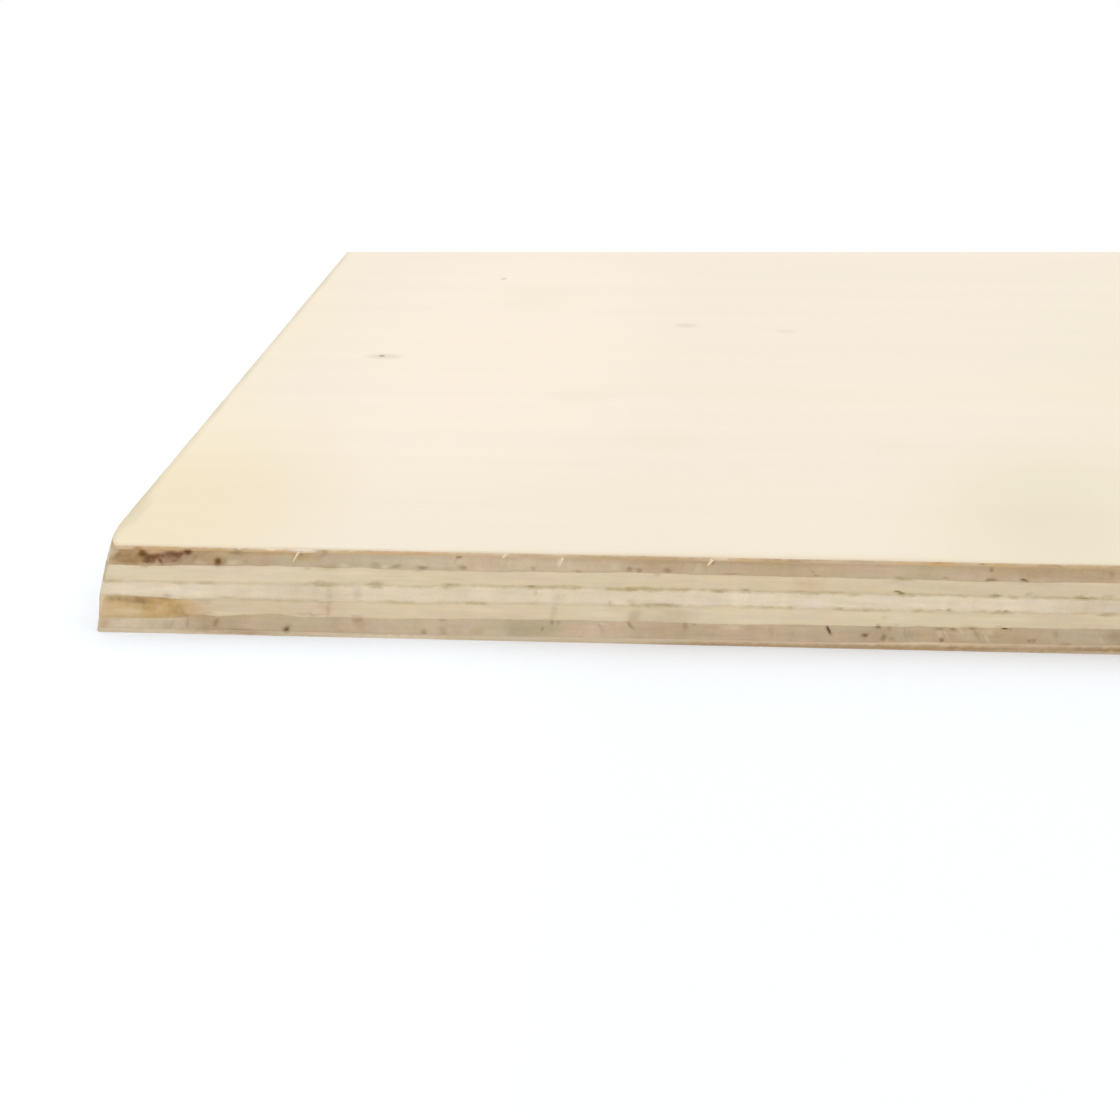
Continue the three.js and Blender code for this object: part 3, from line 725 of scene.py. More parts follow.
def new_geometry_tree(name, inputs):
    """An empty Geometry Nodes tree with these inputs, and its group input's outputs by name."""
    tree = bpy.data.node_groups.new(name, "GeometryNodeTree")
    tree.interface.new_socket("Geometry", in_out="INPUT", socket_type="NodeSocketGeometry")
    for label, kind in inputs.items():
        tree.interface.new_socket(label, in_out="INPUT", socket_type=f"NodeSocket{kind}")
    tree.interface.new_socket("Geometry", in_out="OUTPUT", socket_type="NodeSocketGeometry")
    return tree, tree.nodes.new("NodeGroupInput").outputs


def run_tree(name, base, tree, values):
    """Runs a tree over a base mesh and returns what it makes as a plain mesh."""
    carrier = bpy.data.objects.new(name, base)
    bpy.context.scene.collection.objects.link(carrier)
    modifier = carrier.modifiers.new(tree.name, "NODES")
    modifier.node_group = tree
    for item in tree.interface.items_tree:
        if item.in_out == "INPUT" and item.name in values:
            modifier[item.identifier] = values[item.name]
    evaluated = carrier.evaluated_get(bpy.context.evaluated_depsgraph_get())
    mesh = bpy.data.meshes.new_from_object(evaluated)
    carrier.modifiers.remove(modifier)
    bpy.data.objects.remove(carrier)
    bpy.data.meshes.remove(base)
    mesh.name = name
    return mesh


def glue_line_stray(tree, position, line, wave, length):
    """How far a glue line strays up or down at a place on the edge.

    A slow, a quick and a fine noise add up to 1.45 on average. Each line has its
    own level of them, 7.3 above the last one's, so no two lines stray alike.
    """
    closeness = add_node(tree, "ShaderNodeMath", [1.0, length], operation="DIVIDE")
    scaled = {"Vector": position, "Scale": closeness}
    waves = add_node(tree, "ShaderNodeVectorMath", scaled, operation="SCALE")
    x = add_node(tree, "ShaderNodeSeparateXYZ", [waves], output="X")
    y = add_node(tree, "ShaderNodeSeparateXYZ", [waves], output="Y")
    level = add_node(tree, "ShaderNodeMath", [line, 7.3], operation="MULTIPLY")
    place = add_node(tree, "ShaderNodeCombineXYZ", [x, y, level])
    slow = add_node(tree, "ShaderNodeTexNoise", {"Vector": place, "Scale": 0.16, "Detail": 0.0})
    quick = add_node(tree, "ShaderNodeTexNoise", {"Vector": place, "Scale": 1.0, "Detail": 3.0})
    fine = add_node(tree, "ShaderNodeTexNoise", {"Vector": place, "Scale": 8.0, "Detail": 2.0})
    both = add_node(tree, "ShaderNodeMath", [slow, quick], operation="ADD")
    all_three = add_node(tree, "ShaderNodeMath", [fine, 0.9, both], operation="MULTIPLY_ADD")
    centred = add_node(tree, "ShaderNodeMath", [all_three, 1.45], operation="SUBTRACT")
    doubled = add_node(tree, "ShaderNodeMath", [centred, 2.0], operation="MULTIPLY")
    return add_node(tree, "ShaderNodeMath", [doubled, wave], operation="MULTIPLY")


def sawn_veneer_tree():
    """Turns a straight veneer into a pressed and sawn one."""
    tree, given = new_geometry_tree(
        "Sawn Veneer",
        {
            "Upper Line": "Float",
            "Lower Line": "Float",
            "Upper Wave": "Float",
            "Lower Wave": "Float",
            "Wave Length": "Float",
            "Saw Depth": "Float",
            "Grain Depth": "Float",
            "Grain Scale": "Vector",
            "Groove Depth": "Float",
            "Void Depth": "Float",
            "Face Wood": "Material",
            "Edge Wood": "Material",
        },
    )
    position = add_node(tree, "GeometryNodeInputPosition")
    share, rim, wave, lift, hollow, from_line = (
        add_node(tree, "GeometryNodeInputNamedAttribute", [name], data_type="FLOAT")
        for name in ("share", "rim", "wave", "lift", "hollow", "from_line")
    )
    outward = add_node(tree, "GeometryNodeInputNamedAttribute", ["outward"], data_type="FLOAT_VECTOR")
    sawn = add_node(tree, "GeometryNodeInputNamedAttribute", ["sawn"], data_type="BOOLEAN")

    # Up and down: a point strays with the glue lines above and below it.
    length = given["Wave Length"]
    upper = glue_line_stray(tree, position, given["Upper Line"], given["Upper Wave"], length)
    lower = glue_line_stray(tree, position, given["Lower Line"], given["Lower Wave"], length)
    stray = add_node(tree, "ShaderNodeMix", {"Factor": share, "A": lower, "B": upper}, data_type="FLOAT")
    stray = add_node(tree, "ShaderNodeMath", [stray, lift], operation="ADD")
    rise = add_node(tree, "ShaderNodeMath", [stray, wave], operation="MULTIPLY")

    # Inwards: the saw's unevenness, torn grain, worn glue lines and arrises, and voids. The saw's marks
    # are 2.5 mm wide and 9 mm high, and a worn line is a quarter of a millimetre to either side.
    saw_scale = (1 / (2.5 * MM), 1 / (2.5 * MM), 1 / (9 * MM))
    saw_place = add_node(tree, "ShaderNodeVectorMath", [position, saw_scale], operation="MULTIPLY")
    saw = add_node(tree, "ShaderNodeTexNoise", {"Vector": saw_place, "Scale": 1.0, "Detail": 1.0})
    grain_scale = given["Grain Scale"]
    grain_place = add_node(tree, "ShaderNodeVectorMath", [position, grain_scale], operation="MULTIPLY")
    grain = add_node(tree, "ShaderNodeTexNoise", {"Vector": grain_place, "Scale": 1.0, "Detail": 2.0})
    wear = add_node(tree, "ShaderNodeTexNoise", {"Vector": position, "Scale": 1 / (3 * MM), "Detail": 2.0})
    groove = add_node(tree, "ShaderNodeMapRange", [from_line, 0.0, 0.25, 2.0, 0.0])
    worn = add_node(tree, "ShaderNodeMath", [groove, wear], operation="MULTIPLY")
    depth = add_node(tree, "ShaderNodeMath", [saw, given["Saw Depth"]], operation="MULTIPLY")
    for pattern, name in ((grain, "Grain Depth"), (worn, "Groove Depth"), (hollow, "Void Depth")):
        depth = add_node(tree, "ShaderNodeMath", [pattern, given[name], depth], operation="MULTIPLY_ADD")
    inset = add_node(tree, "ShaderNodeMath", [depth, rim], operation="MULTIPLY")
    inward = add_node(tree, "ShaderNodeMath", [inset, -1.0], operation="MULTIPLY")

    pushed = {"Vector": outward, "Scale": inward}
    sideways = add_node(tree, "ShaderNodeVectorMath", pushed, operation="SCALE")
    upwards = add_node(tree, "ShaderNodeCombineXYZ", {"Z": rise})
    offset = add_node(tree, "ShaderNodeVectorMath", [sideways, upwards], operation="ADD")
    moved = add_node(tree, "GeometryNodeSetPosition", {"Geometry": given["Geometry"], "Offset": offset})
    real = add_node(tree, "GeometryNodeRealizeInstances", [moved])
    faced = add_node(tree, "GeometryNodeSetMaterial", {"Geometry": real, "Material": given["Face Wood"]})
    edged = {"Geometry": faced, "Selection": sawn, "Material": given["Edge Wood"]}
    edged = add_node(tree, "GeometryNodeSetMaterial", edged)
    add_node(tree, "NodeGroupOutput", [edged])
    return tree


def torn_fibre_tree():
    """Stands a slim bent splinter at every point of the base, turned and sized by the point's data."""
    tree, given = new_geometry_tree("Torn Fibres", {"Bend": "Float", "Wood": "Material"})
    splinter = add_node(
        tree,
        "GeometryNodeMeshCone",
        {"Vertices": 5, "Side Segments": 5, "Radius Top": 0.12, "Radius Bottom": 0.5, "Depth": 1.0},
        output="Mesh",
    )
    position = add_node(tree, "GeometryNodeInputPosition")
    height = add_node(tree, "ShaderNodeSeparateXYZ", [position], output="Z")
    curve = add_node(tree, "ShaderNodeMath", [height, 2.0], operation="POWER")
    swing = add_node(tree, "ShaderNodeMath", [curve, given["Bend"]], operation="MULTIPLY")
    sideways = add_node(tree, "ShaderNodeCombineXYZ", {"X": swing})
    bent = add_node(tree, "GeometryNodeSetPosition", {"Geometry": splinter, "Offset": sideways})

    turn = add_node(tree, "GeometryNodeInputNamedAttribute", ["turn"], data_type="FLOAT_VECTOR")
    rotation = add_node(tree, "FunctionNodeEulerToRotation", [turn])
    size = add_node(tree, "GeometryNodeInputNamedAttribute", ["size"], data_type="FLOAT_VECTOR")
    placed = {"Points": given["Geometry"], "Instance": bent, "Rotation": rotation, "Scale": size}
    placed = add_node(tree, "GeometryNodeInstanceOnPoints", placed)
    real = add_node(tree, "GeometryNodeRealizeInstances", [placed])
    wooden = add_node(tree, "GeometryNodeSetMaterial", {"Geometry": real, "Material": given["Wood"]})
    add_node(tree, "NodeGroupOutput", [wooden])
    return tree


# ---------------------------------------------------------------- pieces


def base_mesh(name, points, faces, data, sawn=None):
    """A mesh that carries its points' data as attributes."""
    mesh = bpy.data.meshes.new(name)
    mesh.from_pydata(points.tolist(), [], faces)
    for label, values in data.items():
        kind = "FLOAT" if values.ndim == 1 else "FLOAT_VECTOR"
        field = "value" if values.ndim == 1 else "vector"
        mesh.attributes.new(label, kind, "POINT").data.foreach_set(field, values.ravel())
    if sawn is not None:
        mesh.attributes.new("sawn", "BOOLEAN", "FACE").data.foreach_set("value", sawn)
    return mesh


def show_piece(name, mesh):
    """Shows a finished mesh as a piece of the sheet, smooth but for its arrises."""
    mesh.polygons.foreach_set("use_smooth", np.ones(len(mesh.polygons), bool))
    mesh.set_sharp_from_angle(angle=math.radians(50))
    piece = bpy.data.objects.new(name, mesh)
    bpy.context.scene.collection.objects.link(piece)
    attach(piece, BODY)
    return piece


def make_veneer(node, name, grain, rows, flat_wood, edge_wood):
    """Makes one veneer of the stack in place of its solid, with this many rows of faces up its edge."""
    edge = bpy.context.scene.plywood.edge
    line = VENEERS.index(node)
    stations = edge_stations(edge)
    cap = cap_layout(edge_ring(cad_outline(VENEERS[0])[1], stations)[:, :2])
    points, faces, sawn, data = veneer_arrays(node, rows, stations, cap)
    mark_edge(node, points, data)
    data["end_grain"] = np.abs(data["outward"] @ np.array(grain))
    base = base_mesh(f"{name}_base", points, faces, data, sawn)

    # A torn fibre is 6 mm long and a third of a millimetre thick. Of the glue lines, the first and the
    # last, which the thin outer veneers lie on, don't stray.
    along, across = 1 / (6 * MM), 1 / (0.35 * MM)
    straying = range(2, len(VENEERS) - 1)
    values = {
        "Upper Line": float(line),
        "Lower Line": float(line + 1),
        "Upper Wave": edge.line_wave if line in straying else 0.0,
        "Lower Wave": edge.line_wave if line + 1 in straying else 0.0,
        "Wave Length": edge.wave_length,
        "Saw Depth": edge.saw_depth,
        "Grain Depth": edge.grain_depth,
        "Grain Scale": (along, across, across) if grain == ALONG else (across, along, across),
        "Groove Depth": edge.groove_depth,
        "Void Depth": edge.void_depth,
        "Face Wood": flat_wood,
        "Edge Wood": edge_wood,
    }
    tree = bpy.data.node_groups.get("Sawn Veneer") or sawn_veneer_tree()
    piece = show_piece(name, run_tree(name, base, tree, values))
    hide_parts(node)


# The splinters on the front arris, in mm: how far along and how high up each is rooted, its length and
# width, and how far it leans towards the knocked corner, in degrees.
SPLINTERS = (
    (27.5, 11.7, 1.65, 0.42, 27),
    (29.6, 11.72, 2.2, 0.2, 84),
    (54.55, 11.75, 0.6, 0.42, 35),
    (62.0, 11.6, 1.5, 0.34, 20),
    (81.35, 11.75, 1.1, 0.55, 30),
)

# How far into the arris every splinter is rooted, and how many small ones stand on a metre of it.
ROOT_DEPTH = 0.07 * MM
FIBRES_PER_METRE = 30


def fibre_points():
    """Where the torn fibres stand, how they turn and how big they are."""
    random = np.random.default_rng(12)
    points, turns, sizes = [], [], []
    for along, up, length, width, lean in SPLINTERS:
        points.append((CAD_LOW.x + along * MM, CAD_LOW.y + ROOT_DEPTH, up * MM))
        turns.append((0, math.pi + math.radians(lean), 0))
        sizes.append((width * MM, 0.12 * MM, length * MM))

    # The rounds at the corners get no small fibres, nor does the marked stretch.
    outline = cad_outline(VENEERS[0])[1]
    for start, end in zip(outline, np.roll(outline, -1, axis=0)):
        length = np.linalg.norm(end - start)
        if length < 10 * MM:
            continue
        heading = math.atan2(end[1] - start[1], end[0] - start[0])
        inwards = np.array((-math.sin(heading), math.cos(heading), -2)) * ROOT_DEPTH
        for distance in random.uniform(2 * MM, length - 2 * MM, round(length * FIBRES_PER_METRE)):
            spot = start + (end - start) * distance / length + inwards
            if spot[1] > CAD_LOW.y + MM or spot[0] > CAD_LOW.x + MARKED_LENGTH * MM:
                points.append(spot)
                turns.append((0, math.pi + random.uniform(-1.2, 1.2), heading))
                width, long = random.uniform(0.12, 0.25), random.uniform(0.4, 1.6)
                sizes.append((width * MM, 0.1 * MM, long * MM))

    # The end beside the knocked corner is frayed, and its fibres stand out from it.
    arris = outline[0] + np.array((0.15, 0, -0.2)) * MM
    for inland in random.uniform(8, 60, 22):
        points.append(arris + np.array((0, inland * MM, 0)))
        turns.append((random.uniform(0.2, 0.9), math.pi + random.uniform(-0.8, 0.8), -math.pi / 2))
        sizes.append((random.uniform(0.08, 0.16) * MM, 0.08 * MM, random.uniform(0.2, 0.45) * MM))
    data = {"turn": np.array(turns), "size": np.array(sizes)}
    return np.array(points), data


# ---------------------------------------------------------------- wood


def new_wood(name):
    """An empty material, its tree, and the place on the sheet in mm from the knocked corner."""
    material = bpy.data.materials.new(name)
    material.use_nodes = True
    tree = material.node_tree
    tree.nodes.clear()
    metres = add_node(tree, "ShaderNodeTexCoord", output="Object")
    from_corner = (-CAD_LOW.x / MM, -CAD_LOW.y / MM, 0)
    place = add_node(tree, "ShaderNodeMapping", [metres, from_corner, (0, 0, 0), (1 / MM, 1 / MM, 1 / MM)])
    return material, tree, place


def grain_noise(tree, place, lengths, detail=2.0, output=None):
    """The noise of a grain whose marks are this long in mm in each direction, from 0 to 1."""
    scale = tuple(1 / length for length in lengths)
    stretched = add_node(tree, "ShaderNodeVectorMath", [place, scale], operation="MULTIPLY")
    inputs = {"Vector": stretched, "Scale": 1.0, "Detail": detail}
    return add_node(tree, "ShaderNodeTexNoise", inputs, output)


def finish_wood(tree, colour, shade, roughness, height, bump_depth):
    """Shades the colour and joins it, the roughness and the relief to the wood's shader."""
    shaded = add_node(tree, "ShaderNodeVectorMath", {"Vector": colour, "Scale": shade}, operation="SCALE")
    bump = add_node(tree, "ShaderNodeBump", {"Height": height, "Distance": bump_depth})
    inputs = {"Base Color": shaded, "Roughness": roughness, "Normal": bump, "IOR": 1.5}
    shader = add_node(tree, "ShaderNodeBsdfPrincipled", inputs)
    add_node(tree, "ShaderNodeOutputMaterial", {"Surface": shader})


# Map Range nodes with this setting ease in and out.
EASED = {"interpolation_type": "SMOOTHSTEP"}


def tinted_patches(tree, place, lengths, start, full, strength, colour, tint, **settings):
    """Tints the colour in patches this long in mm, where their noise rises from start to full."""
    noise_value = grain_noise(tree, place, lengths)
    shown = add_node(tree, "ShaderNodeMapRange", [noise_value, start, full, 0, strength], **settings)
    return add_node(tree, "ShaderNodeMix", [shown, colour, tint], data_type="RGBA")


def reach_from(tree, place, centre, half_size):
    """How far a place lies from a centre: 1 is half the length or half the width of what lies there."""
    away = add_node(tree, "ShaderNodeVectorMath", [place, centre], operation="SUBTRACT")
    scale = (1 / half_size[0], 1 / half_size[1], 0)
    away = add_node(tree, "ShaderNodeVectorMath", [away, scale], operation="MULTIPLY")
    return add_node(tree, "ShaderNodeVectorMath", [away], output="Value", operation="LENGTH")


# What shows on the face near the knocked corner, in mm: the colour of the mark, how far along and
# across it lies, half its length and width, and how strongly it shows. The broad marks are partly the
# wood's tint and partly painted light and shade: they make the face paler towards the back left, and
# darker towards the front, the front left and the right.
FACE_MARKS = (
    ("face_rosy", 42, 130, 32, 150, 0.85),
    ("face_yellow", 0, 130, 12, 140, 0.45),
    ("face_green", 62, 0, 95, 62, 0.3),
    ("face_yellow", 2, 16, 30, 76, 1.0),
    ("stain", 8, 16, 24, 44, 0.13),
    ("face_green", 130, 18, 27, 56, 1.0),
    ("brown", 127, 18, 12, 24, 0.05),
    ("brown", 58.5, 89, 7, 7, 0.05),
    ("face_green", 73, 62, 7, 9, 0.25),
    ("face_green", 108, 60, 6, 9, 0.25),
    ("face_green", 45, 172, 11, 16, 0.25),
    ("face_green", 185, 90, 60, 180, 0.6),
    ("face_streak", 22.9, 117.5, 3.7, 2.6, 0.42),
    ("umber", 22.4, 117.8, 0.6, 1.0, 0.7),
    ("umber", 36.9, 190.8, 0.7, 1.5, 0.28),
    ("face_streak", 74.4, 147.4, 2.5, 2.4, 0.34),
    ("brown", 92.4, 143.6, 2.6, 2.0, 0.1),
    ("umber", 2.6, 16, 1.2, 10, 0.12),
    ("face_ring", 88, 0.8, 48, 2.3, 0.33),
)


def face_wood(name, colour, marks):
    """Rotary-cut poplar, sanded: pale and dull-smooth, with faint fibres and bands along the sheet.

    The knife peels the log, so the growth rings lie as wide soft bands and clouds
    along X, and as long flames away from the knocked corner. Short streaks of
    mineral show here and there.
    """
    wood = bpy.context.scene.plywood.wood
    material, tree, place = new_wood(name)

    # How far off the corner is. Under 1 lie the 175 by 240 mm that carry the listed marks.
    corner = add_node(tree, "ShaderNodeVectorMath", [place, (1 / 175, 1 / 240, 0)], operation="MULTIPLY")
    corner_x = add_node(tree, "ShaderNodeSeparateXYZ", [corner], output="X")
    corner_y = add_node(tree, "ShaderNodeSeparateXYZ", [corner], output="Y")
    farther = add_node(tree, "ShaderNodeMath", [corner_x, corner_y], operation="MAXIMUM")

    colour = tinted_patches(tree, place, (260, 90, 900), 0.52, 0.75, 0.7, colour, wood.face_yellow)
    colour = tinted_patches(tree, place, (340, 70, 700), 0.56, 0.8, 0.6, colour, wood.face_green)

    # Away from the corner, rings cut at a glancing angle lie as long flames. The whole height of the
    # noise holds 12 of them, or 75 radians.
    hills = grain_noise(tree, place, (1500, 150, 900))
    rings = add_node(tree, "ShaderNodeMath", [hills, 75.0], operation="MULTIPLY")
    rings = add_node(tree, "ShaderNodeMath", [rings], operation="SINE")
    flames = add_node(tree, "ShaderNodeMapRange", [rings, -0.4, 1, 0, 0.42], **EASED)
    beyond = add_node(tree, "ShaderNodeMapRange", [farther, 1, 2.4, 0, 1], **EASED)
    flames = add_node(tree, "ShaderNodeMath", [flames, beyond], operation="MULTIPLY")
    colour = add_node(tree, "ShaderNodeMix", [flames, colour, wood.face_ring], data_type="RGBA")

    # The marks, of which the broad ones are partly painted light and shade.
    for kind, along, across, half_length, half_width, strength in marks:
        reach = reach_from(tree, place, (along, across, 0), (half_length, half_width))
        shown = add_node(tree, "ShaderNodeMapRange", [reach, 1.2, 0.2, 0, strength], **EASED)
        colour = add_node(tree, "ShaderNodeMix", [shown, colour, getattr(wood, kind)], data_type="RGBA")

    # The arris is rubbed to a darker line, here and there. It is tan along the front and greyer elsewhere.
    rim = add_node(tree, "ShaderNodeAttribute", output="Fac", attribute_name="wave")
    rubbed = grain_noise(tree, place, (16, 16, 16))
    rubbed = add_node(tree, "ShaderNodeMapRange", [rubbed, 0.35, 0.7, 0.3, 0.65])
    rubbed = add_node(tree, "ShaderNodeMapRange", [rim, 0.82, 1, 0, rubbed], **EASED)
    inland = add_node(tree, "ShaderNodeMapRange", [corner_y, 0.001, 0.012, 0, 1])
    worn = add_node(tree, "ShaderNodeMix", [inland, wood.outer_edge, wood.face_streak], data_type="RGBA")
    colour = add_node(tree, "ShaderNodeMix", [rubbed, colour, worn], data_type="RGBA")

    # Streaks about 4 mm long, in one out of twelve cells of 38 by 16 mm.
    cells = add_node(tree, "ShaderNodeVectorMath", [place, (1 / 38, 1 / 16, 0)], operation="MULTIPLY")
    middle = add_node(tree, "ShaderNodeTexVoronoi", {"Vector": cells, "Scale": 1.0}, output="Position")
    reach = reach_from(tree, cells, middle, (2.5 / 38, 0.45 / 16))
    streak = add_node(tree, "ShaderNodeMapRange", [reach, 1.2, 0.3, 0, 0.7], **EASED)
    lot = add_node(tree, "ShaderNodeTexVoronoi", {"Vector": cells, "Scale": 1.0}, output="Color")
    lot = add_node(tree, "ShaderNodeSeparateXYZ", [lot], output="X")
    chosen = add_node(tree, "ShaderNodeMath", [lot, 0.08], operation="LESS_THAN")
    outside = add_node(tree, "ShaderNodeMath", [farther, 1.0], operation="GREATER_THAN")
    streak = add_node(tree, "ShaderNodeMath", [streak, chosen], operation="MULTIPLY")
    streak = add_node(tree, "ShaderNodeMath", [streak, outside], operation="MULTIPLY")
    colour = add_node(tree, "ShaderNodeMix", [streak, colour, wood.face_streak], data_type="RGBA")

    bands = grain_noise(tree, place, (420, 11, 900), 3.0)
    band_shade = add_node(tree, "ShaderNodeMapRange", [bands, 0.25, 0.75, 0.985, 1.012])
    fibres = grain_noise(tree, place, (24, 0.5, 900), 3.0)
    fibre_shade = add_node(tree, "ShaderNodeMapRange", [fibres, 0.25, 0.75, 0.985, 1.012])
    shade = add_node(tree, "ShaderNodeMath", [band_shade, fibre_shade], operation="MULTIPLY")
    roughness = add_node(tree, "ShaderNodeMapRange", [fibres, 0.25, 0.75, 0.52, 0.64])
    finish_wood(tree, colour, shade, roughness, fibres, 0.012 * MM)
    return material


def sawn_wood(name, grain, check_shade, long_grain, end_grain, red, grey):
    """Veneer edge left by a circular saw: dull and open.

    Cut across its fibres it is dark and pored, with faint lathe checks, and cut
    along them it is pale and streaked. Glue shows in dashes along the lines.
    """
    wood = bpy.context.scene.plywood.wood
    material, tree, place = new_wood(name)
    end, from_line, near, glue, mark = (
        add_node(tree, "ShaderNodeAttribute", output="Fac", attribute_name=attribute)
        for attribute in ("end_grain", "from_line", "near", "glue", "mark")
    )
    mark_colour = add_node(tree, "ShaderNodeAttribute", output="Color", attribute_name="mark_colour")
    turn = (0, 0, 0 if grain == ALONG else math.pi / 2)
    along_fibres = add_node(tree, "ShaderNodeMapping", [place, (0, 0, 0), turn])

    colour = add_node(tree, "ShaderNodeMix", [end, long_grain, end_grain], data_type="RGBA")
    calm = add_node(tree, "ShaderNodeMapRange", [near, 0, 1, 0.6, 0.25])
    colour = tinted_patches(tree, along_fibres, (26, 7, 6), 0.5, 0.66, calm, colour, red, **EASED)
    colour = tinted_patches(tree, along_fibres, (34, 8.5, 7), 0.52, 0.68, calm, colour, grey, **EASED)

    # Bands 2 mm wide, fibres a third of a millimetre thick, and checks that lean as the knife left them.
    bands = grain_noise(tree, along_fibres, (40, 2.2, 9) if grain == ACROSS else (9, 2.2, 1.2))
    band_shade = add_node(tree, "ShaderNodeMapRange", [bands, 0.3, 0.7, 0.95, 1.04])
    fibres = grain_noise(tree, along_fibres, (8, 0.35, 0.35), 3.0)
    fibre_shade = add_node(tree, "ShaderNodeMapRange", [fibres, 0.3, 0.7, 0.965, 1.03])
    leaning = add_node(tree, "ShaderNodeMapping", [along_fibres, (0, 0, 0), (0.5, 0, 0)])
    checks = grain_noise(tree, leaning, (20, 0.5, 2.6))
    checks = add_node(tree, "ShaderNodeMapRange", [checks, 0.56, 0.7, 0, check_shade], **EASED)
    checks = add_node(tree, "ShaderNodeMath", [checks, end], operation="MULTIPLY")
    shade = add_node(tree, "ShaderNodeMath", [band_shade, fibre_shade], operation="MULTIPLY")
    shade = add_node(tree, "ShaderNodeMath", [shade, checks], operation="SUBTRACT")

    # Away from the marked stretch, noise bruises the grain and puts the glue in dashes 6 mm long.
    dashes = grain_noise(tree, place, (6, 6, 1.1), 1.0)
    dashes = add_node(tree, "ShaderNodeMapRange", [dashes, 0.48, 0.66, FAINT_GLUE, 0.7], **EASED)
    glue = add_node(tree, "ShaderNodeMix", [near, dashes, glue], data_type="FLOAT")
    patches = grain_noise(tree, place, (1.3, 1.3, 0.5))
    patches = add_node(tree, "ShaderNodeMapRange", [patches, 0.3, 0.7, 0.6, 1.35])
    glue = add_node(tree, "ShaderNodeMath", [glue, patches], operation="MULTIPLY", use_clamp=True)
    bruises = grain_noise(tree, place, (1.6, 1.6, 0.8), 1.0)
    bruises = add_node(tree, "ShaderNodeMapRange", [bruises, 0.68, 0.78, 0, 0.7], **EASED)
    bruises = add_node(tree, "ShaderNodeMix", [near, bruises, 0.0], data_type="FLOAT")
    colour = add_node(tree, "ShaderNodeMix", [bruises, colour, wood.spot], data_type="RGBA")

    # The glue fades out within half a millimetre of the line, unevenly.
    fuzz = grain_noise(tree, place, (0.8, 0.8, 0.3), 1.0)
    fuzzy_line = add_node(tree, "ShaderNodeMath", [fuzz, 0.3, from_line], operation="MULTIPLY_ADD")
    band = add_node(tree, "ShaderNodeMapRange", [fuzzy_line, 0.17, 0.6, 1, 0], **EASED)
    glued = add_node(tree, "ShaderNodeMath", [band, glue], operation="MULTIPLY")
    colour = add_node(tree, "ShaderNodeMix", [glued, colour, wood.glue], data_type="RGBA")

    # The marks lie over it all, a little patchy.
    blotches = grain_noise(tree, place, (0.8, 0.8, 0.8))
    patchy = add_node(tree, "ShaderNodeMapRange", [blotches, 0.3, 0.7, 0.84, 1.14])
    shown = add_node(tree, "ShaderNodeMath", [mark, patchy], operation="MULTIPLY", use_clamp=True)
    colour = add_node(tree, "ShaderNodeMix", [shown, colour, mark_colour], data_type="RGBA")

    # Clouds of a slightly redder or yellower tint, and others that are lighter or darker.
    clouds = grain_noise(tree, place, (3.5, 3.5, 1.1), output="Color")
    amounts = (0.08, 0.06, 0.26)
    tint = [clouds, amounts, [1 - amount / 2 for amount in amounts]]
    tint = add_node(tree, "ShaderNodeVectorMath", tint, operation="MULTIPLY_ADD")
    colour = add_node(tree, "ShaderNodeVectorMath", [colour, tint], operation="MULTIPLY")
    size, depth = ((6, 6, 0.8), 0.26) if grain == ACROSS else ((2.6, 2.6, 2.2), 0.08)
    clouds = add_node(tree, "ShaderNodeMath", [grain_noise(tree, place, size), 0.5], operation="SUBTRACT")
    clouds = add_node(tree, "ShaderNodeMath", [clouds, depth, 1.0], operation="MULTIPLY_ADD")
    shade = add_node(tree, "ShaderNodeMath", [shade, clouds], operation="MULTIPLY")

    roughness = add_node(tree, "ShaderNodeMapRange", [fibres, 0.3, 0.7, 0.78, 0.92])
    finish_wood(tree, colour, shade, roughness, fibres, 0.03 * MM)
    return material


def fibre_wood(name):
    """A torn sliver of fresh poplar: almost white and dry, streaked down its length."""
    wood = bpy.context.scene.plywood.wood
    material, tree, place = new_wood(name)
    streaks = grain_noise(tree, place, (0.25, 0.25, 1.5))
    shade = add_node(tree, "ShaderNodeMapRange", [streaks, 0.3, 0.7, 0.92, 1.02])
    tint = add_node(tree, "ShaderNodeMapRange", [streaks, 0.4, 0.8, 0, 0.5])
    colour = add_node(tree, "ShaderNodeMix", [tint, wood.fibre, wood.face_yellow], data_type="RGBA")
    roughness = add_node(tree, "ShaderNodeMapRange", [streaks, 0.3, 0.7, 0.6, 0.8])
    finish_wood(tree, colour, shade, roughness, streaks, 0.02 * MM)
    return material


# ---------------------------------------------------------------- stage


def seen_directly(tree):
    """1 where a surface is seen, by eye, in a reflection or through glass, and 0 where it only lights."""
    camera, glossy, through = (
        add_node(tree, "ShaderNodeLightPath", output=f"Is {kind} Ray")
        for kind in ("Camera", "Glossy", "Transmission")
    )
    either = add_node(tree, "ShaderNodeMath", [camera, glossy], operation="MAXIMUM")
    return add_node(tree, "ShaderNodeMath", [either, through], operation="MAXIMUM")


# The floor's glow changes over this stretch, in mm along from the knocked corner.
GLOW_CHANGE = (35, 75)

# The even light is a touch bluer than white.
SKY_TINT = (0.99, 0.995, 1)

# How high each lamp stands, which way it shines, counterclockwise from straight back, and how soft it
# is, in degrees.
LAMPS = {"key": (70, 150, 60), "fill": (14, 10, 50)}


